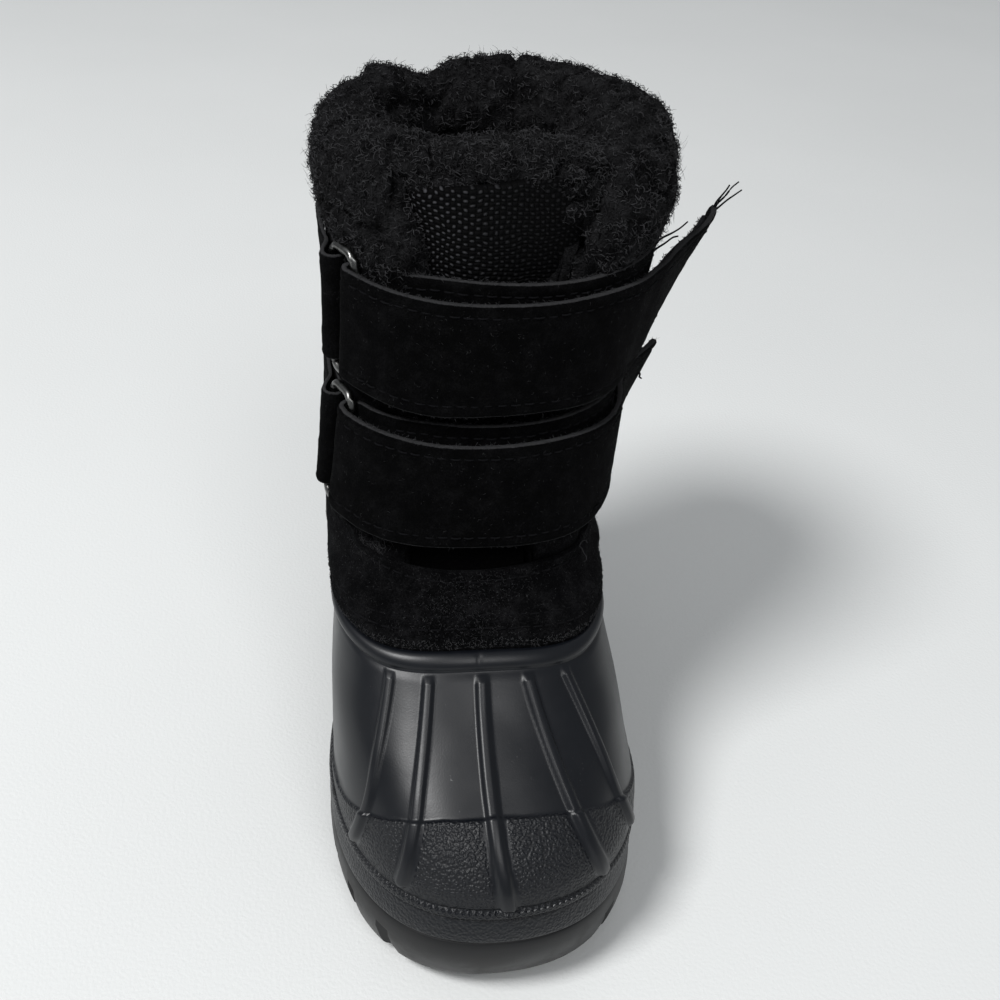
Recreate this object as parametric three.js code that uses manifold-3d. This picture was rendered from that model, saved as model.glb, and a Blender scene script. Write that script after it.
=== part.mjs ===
// A child's left snow boot: moulded rubber foot, fleece-lined suede shaft, woven tongue, two folded straps
// that turn back round metal rings. Millimetres, +Z up, toe towards -Y, wearer's left (lateral) side +X.
import * as THREE from "three";
import { mergeVertices } from "three/addons/utils/BufferGeometryUtils.js";
import Module from "manifold-3d";

// ---- Driving sizes ----
const AROUND = 56; // points round each horizontal section
const SOLE_TOP = 17.4;
const SOLE_FLOOR = 8.5;
const SOLE_RIM = 3.2;
const TOE_SPRING = 7;
const SPRING_START = -35;
const SPRING_RUN = 57;
const ARCH_LIFT = 3.2;
const ARCH_FRONT = 0;
const ARCH_BACK = 42;
const ARCH_RAMP = 9;
const LUG_DEPTH = 4.5;
const LUG_GAP = 4.5;
const CROSS_GROOVES = [-77, -62.5, -48, -33.5, -19, 50, 64.5, 79]; // middles of the grooves across the tread
const SLOT_DEPTH = 2.2; // each groove runs up the side wall as a slot
const SLOT_HEIGHT = 11;
const WALL_MIDDLE = 6; // height at which the side wall is measured
const FIT_GAP = 0.3;
const SHELL_WALL = 3;
const SHELL_TOP_FRONT = 72;
const SHELL_TOP_SIDE = 70;
const SHELL_TOP_WAIST = 61;
const SHELL_TOP_HEEL = 65;
const BAND_HEIGHT = 4;
const BAND_PROUD = 1.3;
const RIB_RADIUS = 1.7;
const LINING = 5;
const SHAFT_WALL = 6.5;
const COLLAR_WALL = 13;
const COLLAR_BULGE = 1.5;
const RIM = 192;
const STRAP_THICK = 2.2;
const TAB_THICK = 1.5;
const FOLD_RADIUS = 2.6;
const WIRE_RADIUS = 1.15;
const INSOLE_THICK = 4;
const BURIED = -SHELL_WALL - FIT_GAP - 0.2; // outside of the lining sock, in from the form
const INSOLE_CLEAR = 0.8;
const TONGUE_THICK = 8;
const TONGUE_RECESS = 2.5;

// Horizontal sections of the boot's outer form. toe and heel are the ends along Y, and lean is the shift of the
// middle line towards the lateral side. ballIn to waistOut are the half widths on the medial (In) and lateral
// (Out) sides of that line, seat the half width at the heel, capToe and capHeel the lengths of the round ends.
const SECTION_COLUMNS = [
  "height", "toe", "heel", "lean", "ballIn", "ballOut", "waistIn", "waistOut", "seat", "capToe", "capHeel",
];
const SECTION_ROWS = [
  [0, -88.5, 86, 0, 38.5, 45.5, 31, 37, 31, 58, 34],
  [12, -91.5, 90, 0, 40.5, 46, 33.5, 38, 34.5, 62, 38],
  [24, -89, 90, 0, 39.5, 44.5, 33, 37, 34.5, 62, 38],
  [34, -87, 89.5, 0, 39.5, 44.5, 33.5, 37, 34.5, 59, 38],
  [44, -79, 89, 0, 39.5, 42.5, 34.5, 36, 34.5, 55, 38],
  [54, -67, 88.5, 0, 39.5, 40.5, 35, 35.5, 34.5, 48, 38],
  [64, -53, 88, 0, 38.5, 38, 36, 35, 34.5, 41, 40],
  [74, -40, 87, 0, 38, 36, 36.5, 35, 34.5, 35, 42],
  [82, -30.5, 86, 0, 37.5, 35, 37, 35, 34.5, 31, 44],
  [90, -23.5, 85, 0, 37.5, 34.5, 37, 35.5, 35, 29, 45],
  [104, -19.5, 84, 0.5, 36.5, 34, 36.5, 35.5, 35, 33, 48],
  [130, -13.5, 83, 2, 37.5, 35.5, 38, 38.5, 37, 36.5, 50],
  [160, -8, 84, 4.5, 41, 39.5, 42, 43.5, 41, 38.5, 52],
  [192, -3.5, 86, 6, 47, 44, 48, 49, 46, 43, 56],
];

// Moulded ribs of the vamp, from under the band down over the toe cap: azimuth in degrees round the section
// from the toe (lateral positive) and height, at the top, the middle and the bottom end.
const RIB_ROWS = [
  { topAzimuth: -26, topHeight: 69, midAzimuth: -33, midHeight: 54, endAzimuth: -45, endHeight: 32 },
  { topAzimuth: -14, topHeight: 70, midAzimuth: -18.5, midHeight: 54, endAzimuth: -26, endHeight: 32 },
  { topAzimuth: -1, topHeight: 71, midAzimuth: -1, midHeight: 52, endAzimuth: 1, endHeight: 29 },
  { topAzimuth: 9, topHeight: 70, midAzimuth: 16, midHeight: 54, endAzimuth: 27, endHeight: 31 },
  { topAzimuth: 21, topHeight: 69, midAzimuth: 32, midHeight: 54, endAzimuth: 42, endHeight: 34 },
];

// Straps and what holds them, from bottom to top edge; azimuths in degrees.
const STRAP_ROWS = {
  upper: { low: 136, high: 164, ringLow: 133.5, ringHigh: 168.5, leave: 50, end: 99, flare: 19, anchor: 106 },
  lower: { low: 101, high: 128, ringLow: 98, ringHigh: 131, leave: 62, end: 92, flare: 12, anchor: 99 },
};
const FOLD_AZIMUTH = -46;
const TAB_FOLD_AZIMUTH = -63;
const TAB_END_AZIMUTH = -98;
const TAB_MARGIN = 4; // from a ring's end down to the tab threaded through it
const TAB_SPREAD = 4; // how much taller the tab grows at each edge towards its sewn end
const LOW_EDGE_FLARE = 0.6; // share of a strap's flare at its lower edge

// Throat opening seen from the front, above its half-round lower end.
const THROAT_ROWS = [
  { height: 110, half: 17, centre: -3 },
  { height: 166, half: 19.5, centre: 3.5 },
  { height: 200, half: 30, centre: 2.5 },
];
const THROAT_BACK = 25;

const COLOURS = { rubber: 0x16181b, suede: 0x17171a, weave: 0x1c1d22, fleece: 0x141416, steel: 0xb9bcc0 };

// ---- Form of the boot ----
const clamp = (value, low, high) => Math.min(high, Math.max(low, value));
const lerp = (from, to, share) => from + (to - from) * share;
const radians = (degrees) => (degrees * Math.PI) / 180;

function ease(from, to, value) {
  const share = clamp((value - from) / (to - from), 0, 1);
  return share * share * (3 - 2 * share);
}

// Slope of a column at a row, from its neighbours.
function columnSlope(row, column) {
  const before = SECTION_ROWS[Math.max(row - 1, 0)];
  const after = SECTION_ROWS[Math.min(row + 1, SECTION_ROWS.length - 1)];
  return (after[column] - before[column]) / (after[0] - before[0]);
}

// The section's named sizes at a height, by a smooth cubic between the rows.
function sectionAt(height) {
  const last = SECTION_ROWS.length - 1;
  const level = clamp(height, SECTION_ROWS[0][0], SECTION_ROWS[last][0]);
  let row = 0;
  while (row < last - 1 && level > SECTION_ROWS[row + 1][0]) row += 1;
  const below = SECTION_ROWS[row];
  const above = SECTION_ROWS[row + 1];
  const step = above[0] - below[0];
  const t = (level - below[0]) / step;
  const section = {};
  SECTION_COLUMNS.forEach((name, column) => {
    const rise = below[column] * (1 - t * t * (3 - 2 * t)) + above[column] * t * t * (3 - 2 * t);
    const bend =
      columnSlope(row, column) * t * (1 - t) * (1 - t) - columnSlope(row + 1, column) * t * t * (1 - t);
    section[name] = rise + bend * step;
  });
  return section;
}

function roundEnd(distance, length, power) {
  return distance < length ? Math.pow(1 - Math.pow(1 - distance / length, power), 1 / power) : 1;
}

function springLift(y, height) {
  const share = clamp((SPRING_START - y) / SPRING_RUN, 0, 1.2);
  return TOE_SPRING * share * share * (1 - ease(40, 75, height));
}

// A point of the outer form: azimuth 0 is the toe, positive goes round the lateral side.
function formPoint(azimuth, height) {
  const s = sectionAt(height);
  const length = s.heel - s.toe;
  const y = s.toe + (length * (1 - Math.cos(azimuth))) / 2;
  const fromToe = y - s.toe;
  const lateral = Math.sin(azimuth) >= 0;
  const ball = lateral ? s.ballOut : s.ballIn;
  const waist = lateral ? s.waistOut : s.waistIn;
  let half = lerp(ball, waist, ease(0.3 * length, 0.62 * length, fromToe));
  half = lerp(half, s.seat, ease(0.6 * length, 0.85 * length, fromToe));
  half *= roundEnd(fromToe, s.capToe, 2.3) * roundEnd(s.heel - y, s.capHeel, 2.2);
  return new THREE.Vector3(s.lean + (lateral ? half : -half), y, height + springLift(y, height));
}

// Outward normal of the outer form.
function formNormal(azimuth, height) {
  const turn = 0.01;
  const rise = 0.5;
  const along = formPoint(azimuth + turn, height).sub(formPoint(azimuth - turn, height));
  const up = formPoint(azimuth, height + rise).sub(formPoint(azimuth, height - rise));
  if (height + rise > RIM) up.set(0, 0, 1);
  return along.cross(up).normalize();
}

// A point moved outwards from the form by some millimetres (negative is inwards).
function offsetPoint(azimuth, height, out) {
  return formPoint(azimuth, height).addScaledVector(formNormal(azimuth, height), out);
}

// The same, moved only sideways, for what lies upright round the shaft.
function wrapPoint(azimuth, height, out) {
  const normal = formNormal(azimuth, height).setZ(0).normalize();
  return formPoint(azimuth, height).addScaledVector(normal, out);
}

function ringOf(place) {
  return Array.from({ length: AROUND }, (_, i) => place((2 * Math.PI * (i + 0.5)) / AROUND));
}

// ---- Solids from rings of points ----
// Joins rings of equally many points. A loop joins the last ring to the first; otherwise both ends are closed
// by strips between the points i and n-1-i of the end ring.
function skin(rings, loop = false) {
  const count = rings[0].length;
  const positions = rings.flat().flatMap((p) => [p.x, p.y, p.z]);
  const faces = [];
  const quad = (a, b, c, d) => faces.push(a, b, c, a, c, d);
  const joins = loop ? rings.length : rings.length - 1;
  for (let r = 0; r < joins; r += 1) {
    const low = r * count;
    const high = ((r + 1) % rings.length) * count;
    for (let i = 0; i < count; i += 1) {
      const next = (i + 1) % count;
      quad(low + i, low + next, high + next, high + i);
    }
  }
  if (!loop) {
    const top = (rings.length - 1) * count;
    for (let i = 0; i < count / 2 - 1; i += 1) {
      const far = count - 1 - i;
      quad(far - 1, i + 1, i, far);
      quad(top + i, top + i + 1, top + far - 1, top + far);
    }
  }
  const geometry = new THREE.BufferGeometry();
  geometry.setAttribute("position", new THREE.Float32BufferAttribute(positions, 3));
  geometry.setIndex(signedVolume(positions, faces) < 0 ? faces.reverse() : faces);
  return geometry;
}

function signedVolume(positions, faces) {
  const at = (index) => new THREE.Vector3().fromArray(positions, 3 * index);
  let sum = 0;
  for (let f = 0; f < faces.length; f += 3) {
    sum += at(faces[f]).dot(at(faces[f + 1]).cross(at(faces[f + 2])));
  }
  return sum;
}

const wasm = await Module();
wasm.setup();

function solidOf(geometry) {
  const bare = geometry.clone();
  bare.deleteAttribute("normal");
  bare.deleteAttribute("uv");
  const merged = mergeVertices(bare, 1e-4);
  const vertProperties = new Float32Array(merged.attributes.position.array);
  const triVerts = new Uint32Array(merged.index.array);
  return new wasm.Manifold(new wasm.Mesh({ numProp: 3, vertProperties, triVerts }));
}

function geometryOf(solid) {
  const mesh = solid.getMesh();
  const geometry = new THREE.BufferGeometry();
  geometry.setAttribute("position", new THREE.BufferAttribute(new Float32Array(mesh.vertProperties), 3));
  geometry.setIndex(new THREE.BufferAttribute(new Uint32Array(mesh.triVerts), 1));
  return geometry;
}

// ---- Outsole: a cup with a lugged tread ----
function archLift(y) {
  const up = ease(ARCH_FRONT, ARCH_FRONT + ARCH_RAMP, y);
  const down = 1 - ease(ARCH_BACK - ARCH_RAMP, ARCH_BACK, y);
  return ARCH_LIFT * Math.min(up, down);
}

function treadPoint(azimuth, height, out) {
  const point = offsetPoint(azimuth, height, out);
  point.z = height + springLift(point.y, height) + archLift(point.y) * (1 - height / 12);
  return point;
}

// Point of the side wall at a given y, on the medial side (-1) or the lateral side (1).
function wallAt(side, y) {
  const { toe, heel } = sectionAt(WALL_MIDDLE);
  const azimuth = Math.acos(1 - (2 * (y - toe)) / (heel - toe));
  return formPoint(side * azimuth, WALL_MIDDLE);
}

// A groove cut up from the ground to a given height.
function grooveCutter(width, length, x, y, height) {
  const cutter = new THREE.BoxGeometry(width, length, 2 * height);
  cutter.translate(x, y, springLift(y, 0));
  return cutter;
}

function outsole() {
  const rings = [
    ringOf((a) => treadPoint(a, 0, -1)),
    ringOf((a) => treadPoint(a, 1.5, 0)),
    ringOf((a) => treadPoint(a, 6, 0)),
    ringOf((a) => treadPoint(a, 12, 0)),
    ringOf((a) => offsetPoint(a, SOLE_TOP, 0)),
    ringOf((a) => offsetPoint(a, SOLE_TOP, -SOLE_RIM)),
    ringOf((a) => offsetPoint(a, SOLE_FLOOR, -SOLE_RIM)),
  ];
  let solid = solidOf(skin(rings));
  for (const y of CROSS_GROOVES) {
    solid = solid.subtract(solidOf(grooveCutter(120, LUG_GAP, 0, y, LUG_DEPTH)));
    for (const side of [-1, 1]) {
      const x = wallAt(side, y).x;
      solid = solid.subtract(solidOf(grooveCutter(2 * SLOT_DEPTH, LUG_GAP, x, y, SLOT_HEIGHT)));
    }
  }
  const lugPitch = CROSS_GROOVES[1] - CROSS_GROOVES[0];
  for (const x of [-17, 4, 25]) {
    for (const y of [-69.75, -55.25, -40.75, -26.25, 57.25, 71.75]) {
      solid = solid.subtract(solidOf(grooveCutter(LUG_GAP * 0.7, lugPitch, x, y, LUG_DEPTH)));
    }
  }
  return geometryOf(solid);
}

// ---- Rubber shell: toe cap, foxing, ribbed vamp and rolled top band in one moulding ----
// Height of the band's lower edge round the boot.
function bandHeight(azimuth) {
  const fromToe = Math.abs(Math.atan2(Math.sin(azimuth), Math.cos(azimuth)));
  const side = lerp(SHELL_TOP_FRONT, SHELL_TOP_SIDE, ease(0, radians(35), fromToe));
  const waist = lerp(side, SHELL_TOP_WAIST, ease(radians(60), radians(115), fromToe));
  return lerp(waist, SHELL_TOP_HEEL, ease(radians(125), radians(175), fromToe));
}

function shellBody() {
  const low = SOLE_TOP + FIT_GAP;
  const wall = [0, 0.14, 0.28, 0.42, 0.58, 0.74, 0.88];
  const outer = wall.map((share) => ringOf((a) => offsetPoint(a, lerp(low, bandHeight(a), share), 0)));
  const band = [
    ringOf((a) => offsetPoint(a, bandHeight(a), 0)),
    ringOf((a) => offsetPoint(a, bandHeight(a) + 0.8, BAND_PROUD)),
    ringOf((a) => offsetPoint(a, bandHeight(a) + BAND_HEIGHT - 0.8, BAND_PROUD)),
    ringOf((a) => offsetPoint(a, bandHeight(a) + BAND_HEIGHT, 0)),
    ringOf((a) => offsetPoint(a, bandHeight(a) + BAND_HEIGHT, -SHELL_WALL)),
  ];
  const inner = wall
    .map((share) => ringOf((a) => offsetPoint(a, lerp(low, bandHeight(a), share), -SHELL_WALL)))
    .reverse();
  return skin([...outer, ...band, ...inner], true);
}

// One rib: a half-buried round bead whose ends sink into the shell.
function rib(row) {
  const steps = 10;
  const sides = 8;
  const rings = [];
  for (let i = 0; i <= steps; i += 1) {
    const t = i / steps;
    const blend = (a, b, c) => a * (1 - t) * (1 - 2 * t) + 4 * b * t * (1 - t) + c * t * (2 * t - 1);
    const azimuth = radians(blend(row.topAzimuth, row.midAzimuth, row.endAzimuth));
    const height = blend(row.topHeight, row.midHeight, row.endHeight);
    const radius = RIB_RADIUS * (0.35 + 0.65 * Math.sqrt(Math.sin(Math.PI * clamp(t, 0.04, 0.96))));
    const centre = offsetPoint(azimuth, height, -0.4);
    const normal = formNormal(azimuth, height);
    const across = new THREE.Vector3(normal.y, -normal.x, 0).normalize();
    rings.push(
      Array.from({ length: sides }, (_, k) => {
        const angle = (2 * Math.PI * (k + 0.5)) / sides;
        return centre
          .clone()
          .addScaledVector(across, radius * Math.cos(angle))
          .addScaledVector(normal, radius * Math.sin(angle));
      }),
    );
  }
  return skin(rings);
}

function shell() {
  let solid = solidOf(shellBody());
  for (const row of RIB_ROWS) solid = solid.add(solidOf(rib(row)));
  return geometryOf(solid);
}

// ---- Upper: the suede shaft and its fleece lining, down into the rubber foot ----
function collarSwell(height) {
  return COLLAR_BULGE * ease(168, 176, height);
}

function shaftWall(height) {
  return lerp(SHAFT_WALL, COLLAR_WALL, ease(158, 182, height));
}

function upperBody() {
  const low = SOLE_FLOOR + FIT_GAP;
  const bandTop = (a) => bandHeight(a) + BAND_HEIGHT;
  const footShares = [0, 0.12, 0.26, 0.4, 0.55, 0.7, 0.85];
  const shaftShares = [0.07, 0.14, 0.22, 0.32, 0.44, 0.57, 0.7, 0.8, 0.9];
  const liningShares = [0, 0.08, 0.24, 0.45, 0.7, 0.92];
  const linedShaftShares = [0.12, 0.36, 0.62, 0.78, 0.9];
  const footHeight = (a, share) => lerp(low, bandTop(a), share);
  const shaftHeight = (a, share) => lerp(bandTop(a), RIM - 4, share);
  const outside = [
    ...footShares.map((share) => ringOf((a) => offsetPoint(a, footHeight(a, share), BURIED))),
    ringOf((a) => offsetPoint(a, bandTop(a) + 0.6, BURIED)),
    ringOf((a) => offsetPoint(a, bandTop(a) + 3, -0.6)),
    ...shaftShares.map((share) =>
      ringOf((a) => offsetPoint(a, shaftHeight(a, share), collarSwell(shaftHeight(a, share)))),
    ),
  ];
  const rim = [
    ringOf((a) => offsetPoint(a, RIM - 3, COLLAR_BULGE - 0.5)),
    ringOf((a) => offsetPoint(a, RIM, COLLAR_BULGE - COLLAR_WALL * 0.3)),
    ringOf((a) => offsetPoint(a, RIM, COLLAR_BULGE - COLLAR_WALL * 0.7)),
    ringOf((a) => offsetPoint(a, RIM - 3, -COLLAR_WALL)),
  ];
  const inside = [
    ...liningShares.map((share) => ringOf((a) => offsetPoint(a, footHeight(a, share), BURIED - LINING))),
    ...linedShaftShares.map((share) =>
      ringOf((a) => offsetPoint(a, shaftHeight(a, share), -shaftWall(shaftHeight(a, share)))),
    ),
  ].reverse();
  return skin([...outside, ...rim, ...inside], true);
}

// Half width and centre of the throat at a height.
function throatAt(height) {
  const [bottom, middle, top] = THROAT_ROWS;
  const [below, above] = height < middle.height ? [bottom, middle] : [middle, top];
  const share = clamp((height - below.height) / (above.height - below.height), 0, 1);
  const drop = clamp(bottom.height - height, 0, bottom.half);
  const half = lerp(below.half, above.half, share);
  return { half: drop > 0 ? Math.sqrt(half * half - drop * drop) : half, centre: lerp(below.centre, above.centre, share) };
}

function throatCutter() {
  const front = -60;
  const round = THROAT_ROWS[0];
  const outline = new THREE.Shape();
  const [first, ...rest] = [...THROAT_ROWS].reverse();
  outline.moveTo(first.centre - first.half, first.height);
  rest.forEach((row) => outline.lineTo(row.centre - row.half, row.height));
  outline.absarc(round.centre, round.height, round.half, Math.PI, 2 * Math.PI, false);
  THROAT_ROWS.slice(1).forEach((row) => outline.lineTo(row.centre + row.half, row.height));
  outline.closePath();
  const depth = THROAT_BACK - front;
  const cutter = new THREE.ExtrudeGeometry(outline, { depth, bevelEnabled: false, curveSegments: 10 });
  cutter.rotateX(Math.PI / 2);
  cutter.translate(0, THROAT_BACK, 0);
  return cutter;
}

function upper() {
  return geometryOf(solidOf(upperBody()).subtract(solidOf(throatCutter())));
}

// ---- Insole ----
function insole() {
  const edge = BURIED - LINING - INSOLE_CLEAR;
  const low = SOLE_FLOOR + FIT_GAP;
  const levels = [
    [low, edge],
    [low + INSOLE_THICK - 0.8, edge],
    [low + INSOLE_THICK, edge - 0.8],
  ];
  return skin(levels.map(([height, out]) => ringOf((a) => offsetPoint(a, height, out))));
}

// ---- Tongue: a padded leaf that fills the throat ----
// Azimuth at which the form's front reaches a given x.
function azimuthAt(x, height) {
  let low = 0;
  let high = radians(88);
  for (let i = 0; i < 30; i += 1) {
    const middle = (low + high) / 2;
    if (Math.abs(formPoint(Math.sign(x) * middle, height).x) < Math.abs(x)) low = middle;
    else high = middle;
  }
  return (Math.sign(x) * (low + high)) / 2;
}

function tonguePoint(share, height, out) {
  const clearance = 0.8;
  const { half, centre } = throatAt(height);
  const x = centre + share * (half - clearance);
  const point = formPoint(azimuthAt(x, Math.min(height, RIM)), Math.min(height, RIM));
  return new THREE.Vector3(x, point.y + TONGUE_RECESS + out, height);
}

function tongue() {
  const shares = [-1, -0.8, -0.5, -0.17, 0.17, 0.5, 0.8, 1];
  const rows = [
    { height: 95, front: 1.5, back: 5 },
    { height: 99, front: 0, back: TONGUE_THICK },
    { height: 114, front: 0, back: TONGUE_THICK },
    { height: 130, front: 0, back: TONGUE_THICK },
    { height: 148, front: 0, back: TONGUE_THICK },
    { height: 166, front: 0, back: TONGUE_THICK },
    { height: 180, front: 0, back: TONGUE_THICK + 2 },
    { height: 188, front: 0.5, back: TONGUE_THICK + 8 },
    { height: 193, front: 3, back: TONGUE_THICK + 7 },
    { height: 194.5, front: 6, back: TONGUE_THICK + 4 },
  ];
  const rings = rows.map(({ height, front, back }) => [
    ...shares.map((share) => tonguePoint(share, height, front)),
    ...shares.map((share) => tonguePoint(-share, height, back)),
  ]);
  return skin(rings);
}

// ---- Straps, ring tabs and rings ----
const CLOSE = FIT_GAP + 0.2; // between a layer and what it lies on
const BAR = CLOSE + STRAP_THICK / 2 + FOLD_RADIUS; // middle of a ring's bar, out from the shaft

// Middle line of a band that lies on the shaft, turns round a ring's bar and comes back over itself. fold is
// the azimuth of the bar, and direction the side of it on which the fold closes: -1 medial, +1 lateral.
// Past settleTo the returning layer lies close on the first; past leave it lifts off again by flare.
function foldedRoute({ from, fold, to, direction, settleTo, leave, flare, thickness, layerSteps }) {
  const route = [];
  const foldSteps = 6;
  const first = CLOSE + thickness / 2;
  const second = first + thickness + CLOSE;
  for (let i = 0; i < layerSteps; i += 1) {
    const share = i / layerSteps;
    const out = lerp(first, BAR - FOLD_RADIUS, ease(0.6, 1, share));
    route.push({ azimuth: radians(lerp(from, fold, share)), out, shift: 0, lift: 0 });
  }
  for (let i = 0; i <= foldSteps; i += 1) {
    const angle = (Math.PI * i) / foldSteps;
    const shift = direction * FOLD_RADIUS * Math.sin(angle);
    route.push({ azimuth: radians(fold), out: BAR - FOLD_RADIUS * Math.cos(angle), shift, lift: 0 });
  }
  for (let i = 1; i <= layerSteps; i += 1) {
    const azimuth = lerp(fold, to, i / layerSteps);
    const settled = ease(0, 1, (azimuth - fold) / (settleTo - fold));
    const lift = flare * Math.pow(clamp((azimuth - leave) / (to - leave), 0, 1), 1.4);
    route.push({ azimuth: radians(azimuth), out: lerp(BAR + FOLD_RADIUS, second, settled), shift: 0, lift });
  }
  return route;
}

function routePoint(step, height, share) {
  const out = step.out + step.lift * lerp(LOW_EDGE_FLARE, 1, share);
  const normal = formNormal(step.azimuth, height).setZ(0).normalize();
  const along = new THREE.Vector3(-normal.y, normal.x, 0);
  return formPoint(step.azimuth, height).addScaledVector(normal, out).addScaledVector(along, step.shift);
}

// A band of even thickness on a route; edges gives its lower and upper height at each share of the route.
function foldedBand(route, edges, shares, thickness) {
  const rings = route.map((step, i) => {
    const before = route[Math.max(i - 1, 0)];
    const after = route[Math.min(i + 1, route.length - 1)];
    const [low, high] = edges(step);
    const sides = shares.map((share) => {
      const height = lerp(low, high, share);
      const centre = routePoint(step, height, share);
      const along = routePoint(after, height, share).sub(routePoint(before, height, share));
      const across = new THREE.Vector3(-along.y, along.x, 0).setLength(thickness / 2);
      return { left: centre.clone().add(across), right: centre.clone().sub(across) };
    });
    return [...sides.map((side) => side.left), ...sides.reverse().map((side) => side.right)];
  });
  return skin(rings);
}

function strap(row) {
  const route = foldedRoute({
    from: row.anchor,
    fold: FOLD_AZIMUTH,
    to: row.end,
    direction: -1,
    settleTo: row.leave,
    leave: row.leave,
    flare: row.flare,
    thickness: STRAP_THICK,
    layerSteps: 16,
  });
  return foldedBand(route, () => [row.low, row.high], [0, 0.5, 1], STRAP_THICK);
}

function ringTab(row) {
  const route = foldedRoute({
    from: TAB_END_AZIMUTH,
    fold: TAB_FOLD_AZIMUTH,
    to: TAB_END_AZIMUTH + 4,
    direction: 1,
    settleTo: TAB_FOLD_AZIMUTH - 10,
    leave: 0,
    flare: 0,
    thickness: TAB_THICK,
    layerSteps: 7,
  });
  const edges = (step) => {
    const spread = TAB_SPREAD * ease(radians(TAB_FOLD_AZIMUTH - 6), radians(TAB_END_AZIMUTH), step.azimuth);
    return [row.ringLow + TAB_MARGIN - spread, row.ringHigh - TAB_MARGIN + spread * 0.4];
  };
  return foldedBand(route, edges, [0, 1], TAB_THICK);
}

// A wire loop: a rectangle with round corners between the strap's fold and the tab's fold.
function wireRing(row) {
  const corner = 3.2;
  const sides = 8;
  const cornerSteps = 4;
  const bar = (azimuth, height) => wrapPoint(radians(azimuth), height, BAR);
  const width = bar(FOLD_AZIMUTH, row.ringLow).distanceTo(bar(TAB_FOLD_AZIMUTH, row.ringLow));
  const tall = row.ringHigh - row.ringLow;
  const path = [];
  for (const [right, top, start] of [[1, 1, 0], [0, 1, 1], [0, 0, 2], [1, 0, 3]]) {
    for (let i = 0; i <= cornerSteps; i += 1) {
      const angle = (Math.PI / 2) * (start + i / cornerSteps);
      const u = (right ? width - corner : corner) + corner * Math.cos(angle);
      const v = (top ? tall - corner : corner) + corner * Math.sin(angle);
      path.push([u / width, row.ringLow + v]);
    }
  }
  const points = path.map(([share, height]) =>
    bar(TAB_FOLD_AZIMUTH, height).lerp(bar(FOLD_AZIMUTH, height), share),
  );
  const face = points[5].clone().sub(points[0]).cross(points[10].clone().sub(points[0])).normalize();
  const rings = points.map((point, i) => {
    const after = points[(i + 1) % points.length];
    const before = points[(i + points.length - 1) % points.length];
    const across = after.clone().sub(before).normalize().cross(face).normalize();
    return Array.from({ length: sides }, (_, k) => {
      const angle = (2 * Math.PI * k) / sides;
      return point
        .clone()
        .addScaledVector(across, WIRE_RADIUS * Math.cos(angle))
        .addScaledVector(face, WIRE_RADIUS * Math.sin(angle));
    });
  });
  return skin(rings, true);
}

// ---- Assembly ----
function piece(name, geometry, color, roughness, metalness = 0) {
  geometry.computeVertexNormals();
  const mesh = new THREE.Mesh(geometry, new THREE.MeshStandardMaterial({ color, roughness, metalness }));
  mesh.name = name;
  return mesh;
}

const boot = new THREE.Group();
boot.add(piece("outsole", outsole(), COLOURS.rubber, 0.62));
boot.add(piece("shell", shell(), COLOURS.rubber, 0.45));
boot.add(piece("upper", upper(), COLOURS.suede, 0.95));
boot.add(piece("insole", insole(), COLOURS.fleece, 0.95));
boot.add(piece("tongue", tongue(), COLOURS.weave, 0.9));
for (const [place, row] of Object.entries(STRAP_ROWS)) {
  boot.add(piece(`strap_${place}`, strap(row), COLOURS.suede, 0.95));
  boot.add(piece(`ring_tab_${place}`, ringTab(row), COLOURS.suede, 0.95));
  boot.add(piece(`ring_${place}`, wireRing(row), COLOURS.steel, 0.25, 1));
}

// The origin is the middle of the boot's footprint box, on the ground.
const extent = new THREE.Box3().setFromObject(boot);
const middle = extent.getCenter(new THREE.Vector3());
boot.position.set(-middle.x, -middle.y, -extent.min.z);

export default boot;
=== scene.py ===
import math

import bpy
import numpy as np
from mathutils import Matrix, Vector


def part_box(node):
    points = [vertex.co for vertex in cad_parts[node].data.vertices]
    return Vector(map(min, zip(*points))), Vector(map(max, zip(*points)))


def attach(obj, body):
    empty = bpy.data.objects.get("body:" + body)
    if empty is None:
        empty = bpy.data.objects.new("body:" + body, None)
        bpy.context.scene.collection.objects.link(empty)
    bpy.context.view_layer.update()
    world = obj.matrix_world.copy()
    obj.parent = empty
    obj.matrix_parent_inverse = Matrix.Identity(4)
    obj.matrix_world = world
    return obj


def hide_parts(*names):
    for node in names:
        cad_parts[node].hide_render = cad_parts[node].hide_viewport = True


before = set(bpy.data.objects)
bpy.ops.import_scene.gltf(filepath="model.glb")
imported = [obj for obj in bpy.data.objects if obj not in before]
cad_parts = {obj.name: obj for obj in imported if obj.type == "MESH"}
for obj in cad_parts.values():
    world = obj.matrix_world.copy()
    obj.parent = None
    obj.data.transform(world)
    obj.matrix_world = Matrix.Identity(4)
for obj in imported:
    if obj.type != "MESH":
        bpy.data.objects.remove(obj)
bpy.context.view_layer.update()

# ---- Sizes, in millimetres, in the last's own zero: toe towards -Y, lateral side +X, ground at z = 0
MM = 0.001
OUTSOLE_SIDE = 45.89  # widest point of the outsole on the lateral side
OUTSOLE_HEEL = 89.84  # rearmost point of the outsole
_, sole_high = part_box("outsole")
ZERO = np.array([OUTSOLE_SIDE - sole_high.x / MM, OUTSOLE_HEEL - sole_high.y / MM, 0.0])

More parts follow.
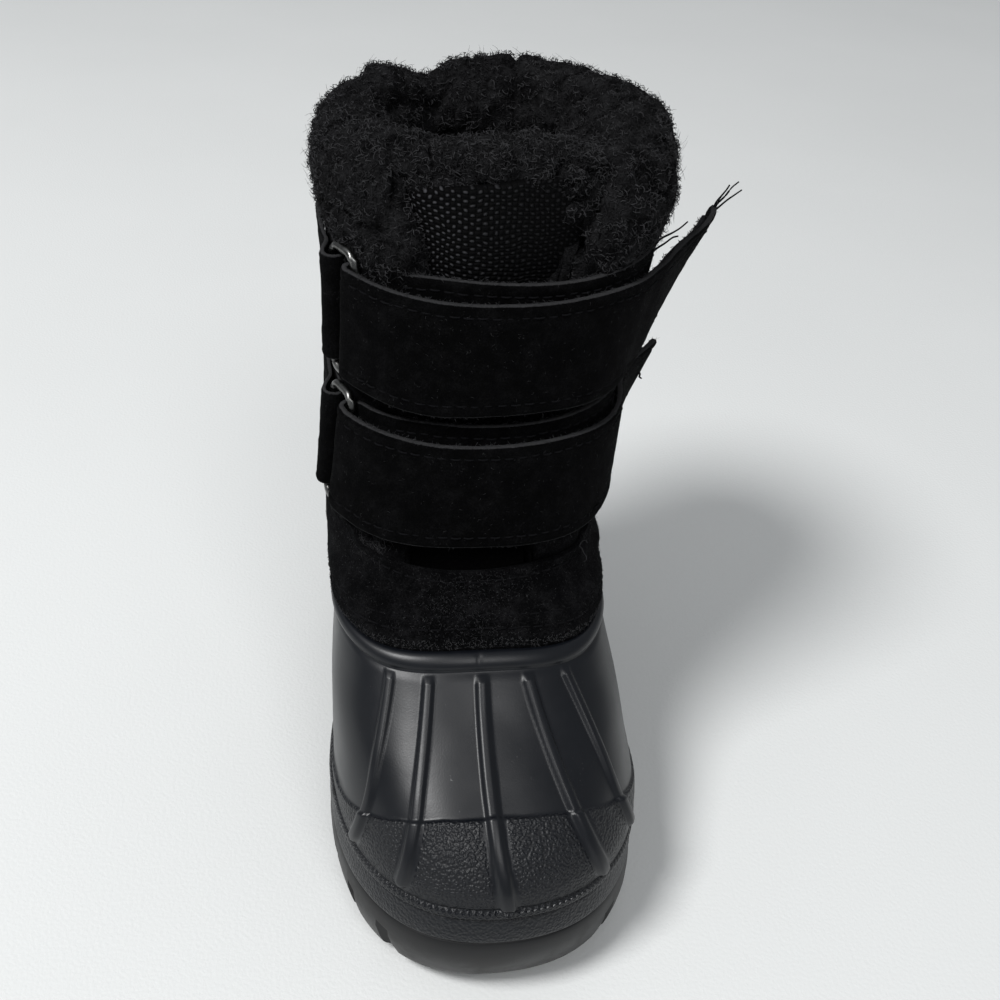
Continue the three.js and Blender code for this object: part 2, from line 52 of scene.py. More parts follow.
SOLE_TOP = 17.4
SOLE_FLOOR = 8.5
SOLE_RIM = 3.2
TOE_SPRING = 7.0
SPRING_START = -35.0
SPRING_RUN = 57.0
SHELL_WALL = 3.0
BAND_HEIGHT = 4.0
RIM = 192.0
STRAP_THICK = 2.2
TAB_THICK = 1.5
FOLD_RADIUS = 2.6
WIRE_RADIUS = 1.15
CLOSE = 0.5
BAR = CLOSE + STRAP_THICK / 2 + FOLD_RADIUS

# Horizontal sections of the outer form: height, toe, heel, lean, ballIn, ballOut, waistIn, waistOut, seat,
# capToe, capHeel. In is the medial side, Out the lateral side.
SECTION_COLUMNS = (
    "height", "toe", "heel", "lean", "ballIn", "ballOut", "waistIn", "waistOut", "seat", "capToe", "capHeel",
)
SECTION_ROWS = np.array([
    (0, -88.5, 86, 0, 38.5, 45.5, 31, 37, 31, 58, 34),
    (12, -91.5, 90, 0, 40.5, 46, 33.5, 38, 34.5, 62, 38),
    (24, -89, 90, 0, 39.5, 44.5, 33, 37, 34.5, 62, 38),
    (34, -87, 89.5, 0, 39.5, 44.5, 33.5, 37, 34.5, 59, 38),
    (44, -79, 89, 0, 39.5, 42.5, 34.5, 36, 34.5, 55, 38),
    (54, -67, 88.5, 0, 39.5, 40.5, 35, 35.5, 34.5, 48, 38),
    (64, -53, 88, 0, 38.5, 38, 36, 35, 34.5, 41, 40),
    (74, -40, 87, 0, 38, 36, 36.5, 35, 34.5, 35, 42),
    (82, -30.5, 86, 0, 37.5, 35, 37, 35, 34.5, 31, 44),
    (90, -23.5, 85, 0, 37.5, 34.5, 37, 35.5, 35, 29, 45),
    (104, -19.5, 84, 0.5, 36.5, 34, 36.5, 35.5, 35, 33, 48),
    (130, -13.5, 83, 2, 37.5, 35.5, 38, 38.5, 37, 36.5, 50),
    (160, -8, 84, 4.5, 41, 39.5, 42, 43.5, 41, 38.5, 52),
    (192, -3.5, 86, 6, 47, 44, 48, 49, 46, 43, 56),
], float)

# Throat opening seen from the front: height, half width, centre.
THROAT_ROWS = np.array([(110, 17, -3), (166, 19.5, 3.5), (200, 30, 2.5)], float)

rng = np.random.default_rng(20)


# ---- Form of the boot
def ease(start, end, value):
    """0 at start, 1 at end, smooth between; start may be the larger."""
    share = np.clip((np.asarray(value, float) - start) / (end - start), 0, 1)
    return share * share * (3 - 2 * share)


def lerp(start, end, share):
    return start + (end - start) * share


def bell(value, centre, width):
    """A smooth hump of height 1 at the centre."""
    return np.exp(-(((value - centre) / width) ** 2))


def wrapped_degrees(azimuth):
    """Azimuth in degrees from -180 to 180."""
    return np.degrees(np.arctan2(np.sin(azimuth), np.cos(azimuth)))


def section_at(height):
    """Named sizes of the section at each height, by a smooth cubic between the rows."""
    rows = SECTION_ROWS
    levels = rows[:, 0]
    last = len(rows) - 1
    above = np.minimum(np.arange(len(rows)) + 1, last)
    below = np.maximum(np.arange(len(rows)) - 1, 0)
    slopes = (rows[above] - rows[below]) / (levels[above] - levels[below])[:, None]
    level = np.clip(np.asarray(height, float), levels[0], levels[-1])
    row = np.clip(np.searchsorted(levels, level, side="left") - 1, 0, last - 1)
    step = (levels[row + 1] - levels[row])[..., None]
    t = (level - levels[row])[..., None] / step
    rise = t * t * (3 - 2 * t)
    bend = slopes[row] * t * (1 - t) ** 2 - slopes[row + 1] * t * t * (1 - t)
    values = rows[row] * (1 - rise) + rows[row + 1] * rise + bend * step
    return {name: values[..., i] for i, name in enumerate(SECTION_COLUMNS)}


def round_end(distance, length, power):
    inside = np.clip(1 - distance / length, 0, 1)
    return (1 - inside ** power) ** (1 / power)


def spring_lift(y, height):
    share = np.clip((SPRING_START - y) / SPRING_RUN, 0, 1.2)
    return TOE_SPRING * share * share * (1 - ease(40, 75, height))


def form_point(azimuth, height):
    """Point of the outer form: azimuth 0 is the toe, positive goes round the lateral side."""
    azimuth, height = np.broadcast_arrays(np.asarray(azimuth, float), np.asarray(height, float))
    s = section_at(height)
    length = s["heel"] - s["toe"]
    y = s["toe"] + length * (1 - np.cos(azimuth)) / 2
    from_toe = y - s["toe"]
    lateral = np.sin(azimuth) >= 0
    ball = np.where(lateral, s["ballOut"], s["ballIn"])
    waist = np.where(lateral, s["waistOut"], s["waistIn"])
    half = lerp(ball, waist, ease(0.3 * length, 0.62 * length, from_toe))
    half = lerp(half, s["seat"], ease(0.6 * length, 0.85 * length, from_toe))
    half = half * round_end(from_toe, s["capToe"], 2.3) * round_end(s["heel"] - y, s["capHeel"], 2.2)
    x = s["lean"] + np.where(lateral, half, -half)
    return np.stack([x, y, height + spring_lift(y, height)], -1)


def unit(vectors):
    return vectors / np.maximum(np.linalg.norm(vectors, axis=-1, keepdims=True), 1e-9)


def form_normal(azimuth, height):
    turn = 0.012
    rise = 0.6
    level = np.minimum(height, RIM - 1)
    along = form_point(azimuth + turn, level) - form_point(azimuth - turn, level)
    up = form_point(azimuth, level + rise) - form_point(azimuth, level - rise)
    return unit(np.cross(along, up))


def offset_point(azimuth, height, out):
    azimuth, height, out = np.broadcast_arrays(azimuth, height, out)
    return form_point(azimuth, height) + form_normal(azimuth, height) * out[..., None]


def flat_normal(azimuth, height):
    normal = form_normal(azimuth, height)
    normal[..., 2] = 0
    return unit(normal)


def throat_at(height):
    """Half width and centre of the throat."""
    levels = THROAT_ROWS[:, 0]
    half = np.interp(height, levels, THROAT_ROWS[:, 1])
    centre = np.interp(height, levels, THROAT_ROWS[:, 2])
    drop = np.clip(levels[0] - height, 0, half)
    return np.where(drop > 0, np.sqrt(np.maximum(half * half - drop * drop, 0)), half), centre


def azimuth_at(x, height):
    """Azimuth on the front of the form where it reaches x, by halving."""
    lean = section_at(height)["lean"]
    side = np.where(x >= lean, 1.0, -1.0)
    low = np.zeros(np.broadcast(x, height).shape)
    high = np.full(low.shape, math.radians(88))
    for _ in range(28):
        middle = (low + high) / 2
        short = np.abs(form_point(side * middle, height)[..., 0] - lean) < np.abs(x - lean)
        low = np.where(short, middle, low)
        high = np.where(short, high, middle)
    return side * (low + high) / 2


# ---- Noise for surfaces that are never quite even
def noise(points, size, seed=0):
    """Smooth value noise in -1..1 at points, with cells of the given size."""
    scaled = points / size
    cell = np.floor(scaled).astype(np.int64)
    part = scaled - cell
    part = part * part * (3 - 2 * part)
    total = 0
    for dx in (0, 1):
        for dy in (0, 1):
            for dz in (0, 1):
                key = (cell[..., 0] + dx) * 374761393 + (cell[..., 1] + dy) * 668265263
                key = (key + (cell[..., 2] + dz) * 2147483647 + seed * 1274126177) & 0xFFFFFFFF
                key = ((key ^ (key >> 13)) * 1274126177) & 0xFFFFFFFF
                value = (key ^ (key >> 16)) / 0xFFFFFFFF * 2 - 1
                weight = np.where(dx, part[..., 0], 1 - part[..., 0])
                weight = weight * np.where(dy, part[..., 1], 1 - part[..., 1])
                total = total + value * weight * np.where(dz, part[..., 2], 1 - part[..., 2])
    return total


def rough(points, size, octaves=3, seed=0):
    total = 0
    for octave in range(octaves):
        total = total + noise(points, size / 2 ** octave, seed + octave) / 2 ** octave
    return total


# ---- Meshes
def quad_faces(rows, columns, close_columns=False, close_rows=False):
    r = np.arange(rows if close_rows else rows - 1)
    c = np.arange(columns if close_columns else columns - 1)
    r, c = np.meshgrid(r, c, indexing="ij")
    r1 = (r + 1) % rows
    c1 = (c + 1) % columns
    corners = [r * columns + c, r * columns + c1, r1 * columns + c1, r1 * columns + c]
    return np.stack(corners, -1).reshape(-1, 4)


def inside_out(points, faces):
    """True where a closed mesh's faces point inwards, by the sign of its volume."""
    a, b, c = (points[faces[:, i]] for i in range(3))
    volume = np.einsum("ij,ij->", a, np.cross(b, c))
    if faces.shape[1] == 4:
        volume += np.einsum("ij,ij->", a, np.cross(c, points[faces[:, 3]]))
    return volume < 0


def make_piece(name, points, faces, material, slot, uv=None, masks=None, replaces=(), smooth=True):
    """Mesh object from points in millimetres and faces of three or four corners, riding on the boot."""
    points = np.asarray(points, float).reshape(-1, 3)
    mesh = bpy.data.meshes.new(name)
    mesh.vertices.add(len(points))
    mesh.vertices.foreach_set("co", ((points - ZERO) * MM).astype(np.float32).ravel())
    faces = np.asarray(faces)
    if inside_out(points, faces):
        faces = faces[:, ::-1]
    corners = faces.shape[1]
    mesh.loops.add(faces.size)
    mesh.loops.foreach_set("vertex_index", faces.astype(np.int32).ravel())
    mesh.polygons.add(len(faces))
    mesh.polygons.foreach_set("loop_start", np.arange(0, faces.size, corners, dtype=np.int32))
    mesh.polygons.foreach_set("use_smooth", np.full(len(faces), smooth))
    if uv is not None:
        layer = mesh.uv_layers.new(name="flat")
        layer.data.foreach_set("uv", np.asarray(uv, np.float32).reshape(-1, 2)[faces.ravel()].ravel())
    for mask, values in (masks or {}).items():
        attribute = mesh.attributes.new(mask, "FLOAT", "POINT")
        attribute.data.foreach_set("value", np.asarray(values, np.float32).ravel())
    mesh.update()
    mesh.validate()
    mesh.materials.append(material)
    piece = bpy.data.objects.new(name, mesh)
    bpy.context.scene.collection.objects.link(piece)
    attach(piece, "root")
    if replaces:
        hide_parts(*replaces)
    return piece


def slab(name, outer, inner, material, slot, uv=None, masks=None, around=False, **more):
    """Closed body between an outer and an inner grid of points; around joins the last column to the first."""
    rows, columns = outer.shape[:2]
    count = rows * columns
    index = np.arange(count).reshape(rows, columns)
    top = quad_faces(rows, columns, around)
    faces = [top, top[:, ::-1] + count]
    rims = [index[0], index[-1][::-1]]
    if not around:
        faces_left, faces_right = index[:, 0][::-1], index[:, -1]
        rims += [faces_left, faces_right]
    for rim in rims:
        if around:
            rim = np.append(rim, rim[0])
        faces.append(np.stack([rim[1:], rim[:-1], rim[:-1] + count, rim[1:] + count], -1))
    both = {key: np.concatenate([np.ravel(v), np.ravel(v)]) for key, v in (masks or {}).items()}
    flat = None if uv is None else np.concatenate([uv.reshape(-1, 2), uv.reshape(-1, 2)])
    points = np.concatenate([outer.reshape(-1, 3), inner.reshape(-1, 3)])
    return make_piece(name, points, np.concatenate(faces), material, slot, flat, both, **more)


def grid_uv(points):
    """Flat coordinates in millimetres of a grid: length along the middle row and the middle column."""
    across = np.linalg.norm(np.diff(points, axis=1), axis=-1)
    up = np.linalg.norm(np.diff(points, axis=0), axis=-1)
    u = np.concatenate([np.zeros((len(points), 1)), np.cumsum(across, 1)], 1)
    u = u - u[:, u.shape[1] // 2][:, None]
    v = np.concatenate([np.zeros((1, points.shape[1])), np.cumsum(up, 0)], 0)
    return np.stack([u, v], -1)


def grid_normals(points):
    along = np.gradient(points, axis=1)
    up = np.gradient(points, axis=0)
    return unit(np.cross(along, up))


def tubes(name, paths, radii, sides, material, slot, masks=None, closed=False, **more):
    """Many thin tubes in one mesh. paths is (count, steps, 3) and radii (count, steps)."""
    count, steps = paths.shape[:2]
    along = unit(np.gradient(paths, axis=1))
    if closed:
        along = unit(np.roll(paths, -1, 1) - np.roll(paths, 1, 1))
    guide = np.where(np.abs(along[..., 2:3]) < 0.8, [[[0, 0, 1.0]]], [[[1.0, 0, 0]]])
    side = unit(np.cross(along, guide))
    other = np.cross(along, side)
    angle = 2 * math.pi * np.arange(sides) / sides
    ring = side[:, :, None] * np.cos(angle)[:, None] + other[:, :, None] * np.sin(angle)[:, None]
    points = paths[:, :, None] + ring * radii[:, :, None, None]
    faces = quad_faces(steps, sides, True, closed)[None] + (np.arange(count) * steps * sides)[:, None, None]
    faces = faces.reshape(-1, 4)
    spread = {k: np.broadcast_to(v, (count, steps, sides)) for k, v in (masks or {}).items()}
    if sides == 4 and not closed:
        first = (np.arange(count) * steps * sides)[:, None]
        corner = np.arange(sides)[None]
        ends = [first + corner[:, ::-1], first + (steps - 1) * sides + corner]
        faces = np.concatenate([faces, *ends])
    return make_piece(name, points, faces, material, slot, masks=spread, **more)


# ---- Shader groups shared by the finishes
def feed(tree, made, inputs):
    """Sets a node's inputs from constants, or links them from sockets."""
    for key, value in (inputs or {}).items():
        if isinstance(value, bpy.types.NodeSocket):
            tree.links.new(value, made.inputs[key])
        else:
            made.inputs[key].default_value = value


def shader_node(tree, kind, inputs=None, **settings):
    made = tree.nodes.new("ShaderNode" + kind)
    for key, value in settings.items():
        setattr(made, key, value)
    feed(tree, made, inputs)
    return made


def object_place(tree):
    return shader_node(tree, "TexCoord").outputs["Object"]


def noise_node(tree, place, scale, detail, **more):
    """A noise texture at a place; more holds its roughness and distortion."""
    inputs = {"Vector": place, "Scale": scale, "Detail": detail}
    inputs.update({key.capitalize(): value for key, value in more.items()})
    return shader_node(tree, "TexNoise", inputs).outputs


def axes(tree, vector):
    return shader_node(tree, "SeparateXYZ", {"Vector": vector}).outputs


def shader_group(name, inputs, outputs):
    """A node group with named float inputs and outputs: the tree, its input sockets and its end."""
    tree = bpy.data.node_groups.new(name, "ShaderNodeTree")
    for label, value in inputs.items():
        socket = tree.interface.new_socket(label, in_out="INPUT", socket_type="NodeSocketFloat")
        socket.default_value = value
    for label in outputs:
        tree.interface.new_socket(label, in_out="OUTPUT", socket_type="NodeSocketFloat")
    return tree, tree.nodes.new("NodeGroupInput").outputs, tree.nodes.new("NodeGroupOutput")


def place_group(tree, group, inputs=None):
    made = tree.nodes.new("ShaderNodeGroup")
    made.node_tree = group
    feed(tree, made, inputs)
    return made.outputs


def maths(tree, operation, first, second=0.0, third=0.0, clamp=False):
    made = shader_node(tree, "Math", {0: first, 1: second, 2: third}, operation=operation, use_clamp=clamp)
    return made.outputs[0]


def graded(tree, value, low, high):
    """0 below low, 1 above high, smooth between."""
    inputs = {"Value": value, "From Min": low, "From Max": high}
    return shader_node(tree, "MapRange", inputs, interpolation_type="SMOOTHSTEP").outputs["Result"]


def strayed(tree, place, scale, detail, reach):
    """A place moved about by a noise, so that a pattern over it isn't quite even."""
    bend = noise_node(tree, place, scale, detail)["Color"]
    shift = shader_node(tree, "VectorMath", {0: bend, "Scale": reach}, operation="SCALE").outputs[0]
    return shader_node(tree, "VectorMath", {0: place, 1: shift}, operation="ADD").outputs[0]


def attribute(tree, name):
    return shader_node(tree, "Attribute", attribute_name=name).outputs["Fac"]


def flat_place(tree):
    return shader_node(tree, "UVMap", uv_map="flat").outputs["UV"]


def build_nap():
    """Napped hide: short fibres brushed in patches. Tone is light or dark nap, Height the fibres."""
    tree, given, out = shader_group("Nap", {"Patch Scale": 180.0, "Fibre Scale": 2600.0}, ("Tone", "Height"))
    place = object_place(tree)
    patches = noise_node(tree, place, given["Patch Scale"], 6.0, roughness=0.75)["Fac"]
    fibres = noise_node(tree, place, given["Fibre Scale"], 3.0, roughness=0.7, distortion=0.6)["Fac"]
    tone = maths(tree, "MULTIPLY_ADD", fibres, 0.45, maths(tree, "MULTIPLY", patches, 0.55))
    tree.links.new(graded(tree, tone, 0.44, 0.7), out.inputs["Tone"])
    tree.links.new(maths(tree, "MULTIPLY_ADD", patches, 0.8, fibres), out.inputs["Height"])
    return tree


def build_pebble():
    """Moulded pebble grain: rounded cells with fine creases between them. The second output marks the creases,
    which the rubber's finish paints dark as painted shade.
    """
    tree, given, out = shader_group("Pebble grain", {"Scale": 900.0}, ("Height", "Crease Shade"))
    place = object_place(tree)
    moved = strayed(tree, place, 700.0, 2.0, 0.0005)
    cell = {"Vector": moved, "Scale": given["Scale"], "Smoothness": 0.7}
    cells = shader_node(tree, "TexVoronoi", cell, feature="SMOOTH_F1").outputs["Distance"]
    fine = noise_node(tree, place, 1500.0, 3.0)["Fac"]
    dome = graded(tree, cells, 0.75, 0.15)
    tree.links.new(maths(tree, "MULTIPLY_ADD", fine, 0.3, dome), out.inputs["Height"])
    tree.links.new(graded(tree, cells, 0.45, 0.8), out.inputs["Crease Shade"])
    return tree


def build_specks():
    """Sparse light specks of lint and grit."""
    tree, given, out = shader_group("Lint specks", {"Scale": 900.0, "Amount": 0.5}, ("Mask",))
    place = object_place(tree)
    grains = noise_node(tree, place, given["Scale"], 2.0, roughness=0.5, distortion=1.5)["Fac"]
    broad = noise_node(tree, place, 60.0, 3.0)["Fac"]
    level = maths(tree, "MULTIPLY_ADD", broad, maths(tree, "MULTIPLY", given["Amount"], 0.35), grains)
    tree.links.new(graded(tree, level, 0.8, 0.92), out.inputs["Mask"])
    return tree


def build_dust():
    """Pale dust that settles in patches, more of it low down and on what faces up."""
    tree, given, out = shader_group("Settled dust", {"Low": 0.0, "High": 0.03, "Upward": 0.3}, ("Mask",))
    place = object_place(tree)
    patches = noise_node(tree, place, 90.0, 7.0, roughness=0.7)["Fac"]
    height = axes(tree, place)["Z"]
    low = shader_node(tree, "MapRange", {"Value": height, "From Min": given["High"], "From Max": given["Low"]})
    facing = axes(tree, shader_node(tree, "NewGeometry").outputs["Normal"])["Z"]
    upward = maths(tree, "MULTIPLY", facing, given["Upward"], clamp=True)
    level = maths(tree, "ADD", low.outputs["Result"], upward, clamp=True)
    broken = graded(tree, patches, 0.42, 0.68)
    tree.links.new(maths(tree, "MULTIPLY", level, broken, clamp=True), out.inputs["Mask"])
    return tree


def build_raw_edge():
    """Cut edges of hide, broken up by a fine noise, from the mask that the mesh carries."""
    tree, given, out = shader_group("Raw edge", {"Break Up": 0.5}, ("Mask",))
    place = object_place(tree)
    fine = noise_node(tree, place, 1300.0, 4.0, roughness=0.75)["Fac"]
    carried = attribute(tree, "edge")
    loss = maths(tree, "MULTIPLY", maths(tree, "SUBTRACT", 1.0, fine), given["Break Up"])
    tree.links.new(graded(tree, maths(tree, "SUBTRACT", carried, loss), 0.25, 0.7), out.inputs["Mask"])
    return tree


def build_basket():
    """Basket weave of thick yarns over flat coordinates in millimetres. The second output marks the yarns' crowns,
    which the cloth's finish paints light as a painted highlight.
    """
    tree, given, out = shader_group("Basket weave", {"Across Pitch": 1.45, "Up Pitch": 1.05}, ("Height", "Crown Highlight"))
    split = axes(tree, strayed(tree, flat_place(tree), 0.11, 3.0, 3.2))
    across = maths(tree, "DIVIDE", split["X"], given["Across Pitch"])
    up = maths(tree, "DIVIDE", split["Y"], given["Up Pitch"])

    def arches(count):
        return maths(tree, "ABSOLUTE", maths(tree, "SINE", maths(tree, "MULTIPLY", count, math.pi)))

    def yarn(high, crossed):
        rounded = maths(tree, "POWER", high, 0.6)
        return maths(tree, "MULTIPLY", rounded, maths(tree, "MULTIPLY_ADD", crossed, 0.75, 0.25))

    warp, weft = arches(across), arches(up)
    crossing = maths(tree, "ADD", maths(tree, "FLOOR", across), maths(tree, "FLOOR", up))
    odd = maths(tree, "PINGPONG", crossing, 1.0)
    one = maths(tree, "MULTIPLY", odd, maths(tree, "MULTIPLY", yarn(warp, weft), 0.4))
    other = maths(tree, "MULTIPLY", maths(tree, "SUBTRACT", 1.0, odd), yarn(weft, warp))
    total = maths(tree, "ADD", one, other)
    tree.links.new(total, out.inputs["Height"])
    tree.links.new(graded(tree, total, 0.45, 0.95), out.inputs["Crown Highlight"])
    return tree


def build_knurl():
    """Crossed fine ridges over flat coordinates in millimetres."""
    tree, given, out = shader_group("Knurling", {"Pitch": 1.7}, ("Height",))
    split = axes(tree, flat_place(tree))
    turn = maths(tree, "DIVIDE", 2 * math.pi, given["Pitch"])
    ridges = [
        maths(tree, "SINE", maths(tree, "MULTIPLY", maths(tree, way, split["X"], split["Y"]), turn))
        for way in ("ADD", "SUBTRACT")
    ]
    tree.links.new(maths(tree, "MAXIMUM", *ridges), out.inputs["Height"])
    return tree


def build_skin():
    """Surface of moulded rubber: Cloud is a broad unevenness, Skin the finest texture."""
    tree, given, out = shader_group("Rubber skin", {"Cloud Scale": 45.0, "Skin Scale": 2200.0}, ("Cloud", "Skin"))
    place = object_place(tree)
    tree.links.new(noise_node(tree, place, given["Cloud Scale"], 6.0, roughness=0.6)["Fac"], out.inputs["Cloud"])
    tree.links.new(noise_node(tree, place, given["Skin Scale"], 3.0)["Fac"], out.inputs["Skin"])
    return tree


def build_twist():
    """The twist of a spun thread."""
    tree, given, out = shader_group("Thread twist", {"Scale": 900.0}, ("Twist",))
    wave = {"Vector": object_place(tree), "Scale": given["Scale"], "Distortion": 3.0}
    tree.links.new(shader_node(tree, "TexWave", wave).outputs["Fac"], out.inputs["Twist"])
    return tree


NAP = build_nap()
PEBBLE = build_pebble()
SPECKS = build_specks()
DUST = build_dust()
RAW_EDGE = build_raw_edge()
BASKET = build_basket()
KNURL = build_knurl()
SKIN = build_skin()
TWIST = build_twist()


# ---- Finishes
def finish(name, **constants):
    """A material with its Principled shader; constants are set on the shader's own sockets."""
    material = bpy.data.materials.new(name)
    material.use_nodes = True
    tree = material.node_tree
    shader = next(node for node in tree.nodes if node.type == "BSDF_PRINCIPLED")
    for key, value in constants.items():
        shader.inputs[key.replace("_", " ")].default_value = value
    return material, tree, shader


def mixed(tree, share, first, second):
    """One colour passing into another by a share from 0 to 1."""
    ends = [(*value, 1.0) if isinstance(value, tuple) else value for value in (first, second)]
    return shader_node(tree, "Mix", {0: share, 6: ends[0], 7: ends[1]}, data_type="RGBA").outputs[2]


def bumped(tree, shader, height, distance, strength=1.0):
    made = shader_node(tree, "Bump", {"Height": height, "Distance": distance, "Strength": strength})
    tree.links.new(made.outputs["Normal"], shader.inputs["Normal"])


def suede_finish(name, deep, light, edge, sheen):
    material, tree, shader = finish(name, Roughness=0.95, Sheen_Weight=sheen, Sheen_Roughness=0.45)
    shader.inputs["Specular IOR Level"].default_value = 0.04
    shader.inputs["Sheen Tint"].default_value = (0.8, 0.85, 0.95, 1.0)
    nap = place_group(tree, NAP)
    specks = place_group(tree, SPECKS, {"Scale": 1100.0, "Amount": 0.6})
    raw = place_group(tree, RAW_EDGE, {"Break Up": 0.7})
    colour = mixed(tree, nap["Tone"], deep, light)
    colour = mixed(tree, maths(tree, "MULTIPLY", specks["Mask"], 0.55), colour, (0.06, 0.06, 0.062))
    colour = mixed(tree, maths(tree, "MULTIPLY", raw["Mask"], 0.85), colour, edge)
    tree.links.new(colour, shader.inputs["Base Color"])
    bumped(tree, shader, nap["Height"], 0.0007)
    return material


def rubber_finish(name, colour, roughness, dusty, grain_depth):
    """Moulded rubber: smooth satin where the mesh's pebble mask is 0, grained where it is 1."""
    material, tree, shader = finish(name)
    shader.inputs["Specular IOR Level"].default_value = 0.36
    pebble = place_group(tree, PEBBLE, {"Scale": 1300.0})
    specks = place_group(tree, SPECKS, {"Scale": 700.0, "Amount": 0.35})
    dust = place_group(tree, DUST, {"Low": 0.0, "High": 0.024, "Upward": 0.12})
    skin = place_group(tree, SKIN)
    knurl = place_group(tree, KNURL, {"Pitch": 1.7})
    grained = attribute(tree, "pebble")
    knurled = attribute(tree, "knurl")
    tone = mixed(tree, skin["Cloud"], tuple(c * 0.75 for c in colour), tuple(c * 1.3 for c in colour))
    # Painted shade: the creases of the pebble grain are darkened towards near black.
    crease_shade_share = maths(tree, "MULTIPLY", pebble["Crease Shade"], maths(tree, "MULTIPLY", grained, 0.6))
    tone = mixed(tree, crease_shade_share, tone, (0.004, 0.004, 0.005))
    tone = mixed(tree, maths(tree, "MULTIPLY", specks["Mask"], 0.5), tone, (0.2, 0.2, 0.2))
    tone = mixed(tree, maths(tree, "MULTIPLY", dust["Mask"], dusty), tone, (0.11, 0.095, 0.08))
    tree.links.new(tone, shader.inputs["Base Color"])
    polish = maths(tree, "MULTIPLY_ADD", skin["Cloud"], 0.16, roughness - 0.08)
    polish = maths(tree, "MULTIPLY_ADD", grained, 0.1, polish)
    dulled = maths(tree, "MULTIPLY_ADD", dust["Mask"], 0.25, polish, clamp=True)
    tree.links.new(dulled, shader.inputs["Roughness"])
    height = maths(tree, "MULTIPLY", pebble["Height"], maths(tree, "MULTIPLY", grained, grain_depth))
    height = maths(tree, "MULTIPLY_ADD", knurl["Height"], maths(tree, "MULTIPLY", knurled, 0.8), height)
    bumped(tree, shader, maths(tree, "MULTIPLY_ADD", skin["Skin"], 0.06, height), 0.00028)
    return material


def fleece_finish():
    material, tree, shader = finish("Black fleece", Roughness=0.95)
    shader.inputs["Specular IOR Level"].default_value = 0.05
    place = object_place(tree)
    curled = noise_node(tree, place, 900.0, 5.0, distortion=2.0)["Fac"]
    tufts = noise_node(tree, place, 220.0, 4.0)["Fac"]
    # Partly painted shade: the colour darkens where the curl bump dips, and varies at random with the tufts.
    tone = maths(tree, "MULTIPLY_ADD", curled, 0.5, maths(tree, "MULTIPLY", tufts, 0.5))
    colour = mixed(tree, graded(tree, tone, 0.35, 0.68), (0.001, 0.001, 0.0012), (0.017, 0.017, 0.018))
    tree.links.new(colour, shader.inputs["Base Color"])
    bumped(tree, shader, curled, 0.0012)
    return material


def pile_finish():
    """Single curls of the fleece, each with its own depth of black: partly at random, partly painted shade that
    darkens the curls in the valleys between clumps.
    """
    material, tree, shader = finish("Fleece curls", Roughness=0.9)
    shader.inputs["Specular IOR Level"].default_value = 0.05
    colour = mixed(tree, attribute(tree, "tone"), (0.001, 0.001, 0.0012), (0.037, 0.037, 0.039))
    tree.links.new(colour, shader.inputs["Base Color"])
    return material


def weave_finish():
    """Coarse cloth: yarn crowns painted light as a painted highlight with painted shade between them, and painted
    shade towards its lateral side and at its foot, where it is also plain.
    """
    material, tree, shader = finish("Woven tongue cloth", Roughness=0.8)
    shader.inputs["Specular IOR Level"].default_value = 0.06
    basket = place_group(tree, BASKET, {"Across Pitch": 1.45, "Up Pitch": 1.05})
    specks = place_group(tree, SPECKS, {"Scale": 900.0, "Amount": 0.4})
    # Painted highlight and shade: the yarns' crowns are painted light and the gaps between them near black.
    colour = mixed(tree, basket["Crown Highlight"], (0.0006, 0.0006, 0.0007), (0.046, 0.046, 0.05))
    colour = mixed(tree, maths(tree, "MULTIPLY", specks["Mask"], 0.4), colour, (0.14, 0.14, 0.15))
    split = axes(tree, object_place(tree))
    # Painted shade at the foot, deep in the throat, and towards the lateral side, darkening the cloth to near
    # black.
    low = graded(tree, split["Z"], 0.122, 0.1)
    right = maths(tree, "MULTIPLY", graded(tree, split["X"], -0.034, -0.006), 0.8)
    dulled = maths(tree, "MAXIMUM", maths(tree, "MULTIPLY", low, 0.97), right)
    colour = mixed(tree, dulled, colour, (0.0014, 0.0014, 0.0016))
    tree.links.new(colour, shader.inputs["Base Color"])
    plain = maths(tree, "SUBTRACT", 1.0, low)
    bumped(tree, shader, maths(tree, "MULTIPLY", basket["Height"], plain), 0.0008)
    return material


def thread_finish(name, colour):
    material, tree, shader = finish(name, Roughness=0.9)
    shader.inputs["Specular IOR Level"].default_value = 0.08
    twist = place_group(tree, TWIST)["Twist"]
    lighter = tuple(c * 1.8 for c in colour)
    tree.links.new(mixed(tree, twist, colour, lighter), shader.inputs["Base Color"])
    bumped(tree, shader, twist, 0.0001)
    return material


def wire_finish():
    material, tree, shader = finish("Nickel-plated wire", Metallic=1.0)
    wear = noise_node(tree, object_place(tree), 500.0, 5.0)["Fac"]
    tree.links.new(mixed(tree, wear, (0.05, 0.05, 0.048), (0.22, 0.22, 0.215)), shader.inputs["Base Color"])
    tree.links.new(maths(tree, "MULTIPLY_ADD", wear, 0.3, 0.14), shader.inputs["Roughness"])
    bumped(tree, shader, wear, 0.00004)
    return material


def floor_finish():
    material, tree, shader = finish("Pale backdrop cloth", Roughness=0.8)
    place = object_place(tree)
    cloud = noise_node(tree, place, 6.0, 3.0)["Fac"]
    grain = noise_node(tree, place, 900.0, 3.0)["Fac"]
    colour = mixed(tree, cloud, (0.71, 0.722, 0.715), (0.76, 0.772, 0.765))
    tree.links.new(colour, shader.inputs["Base Color"])
    bumped(tree, shader, grain, 0.0004, 0.35)
    return material


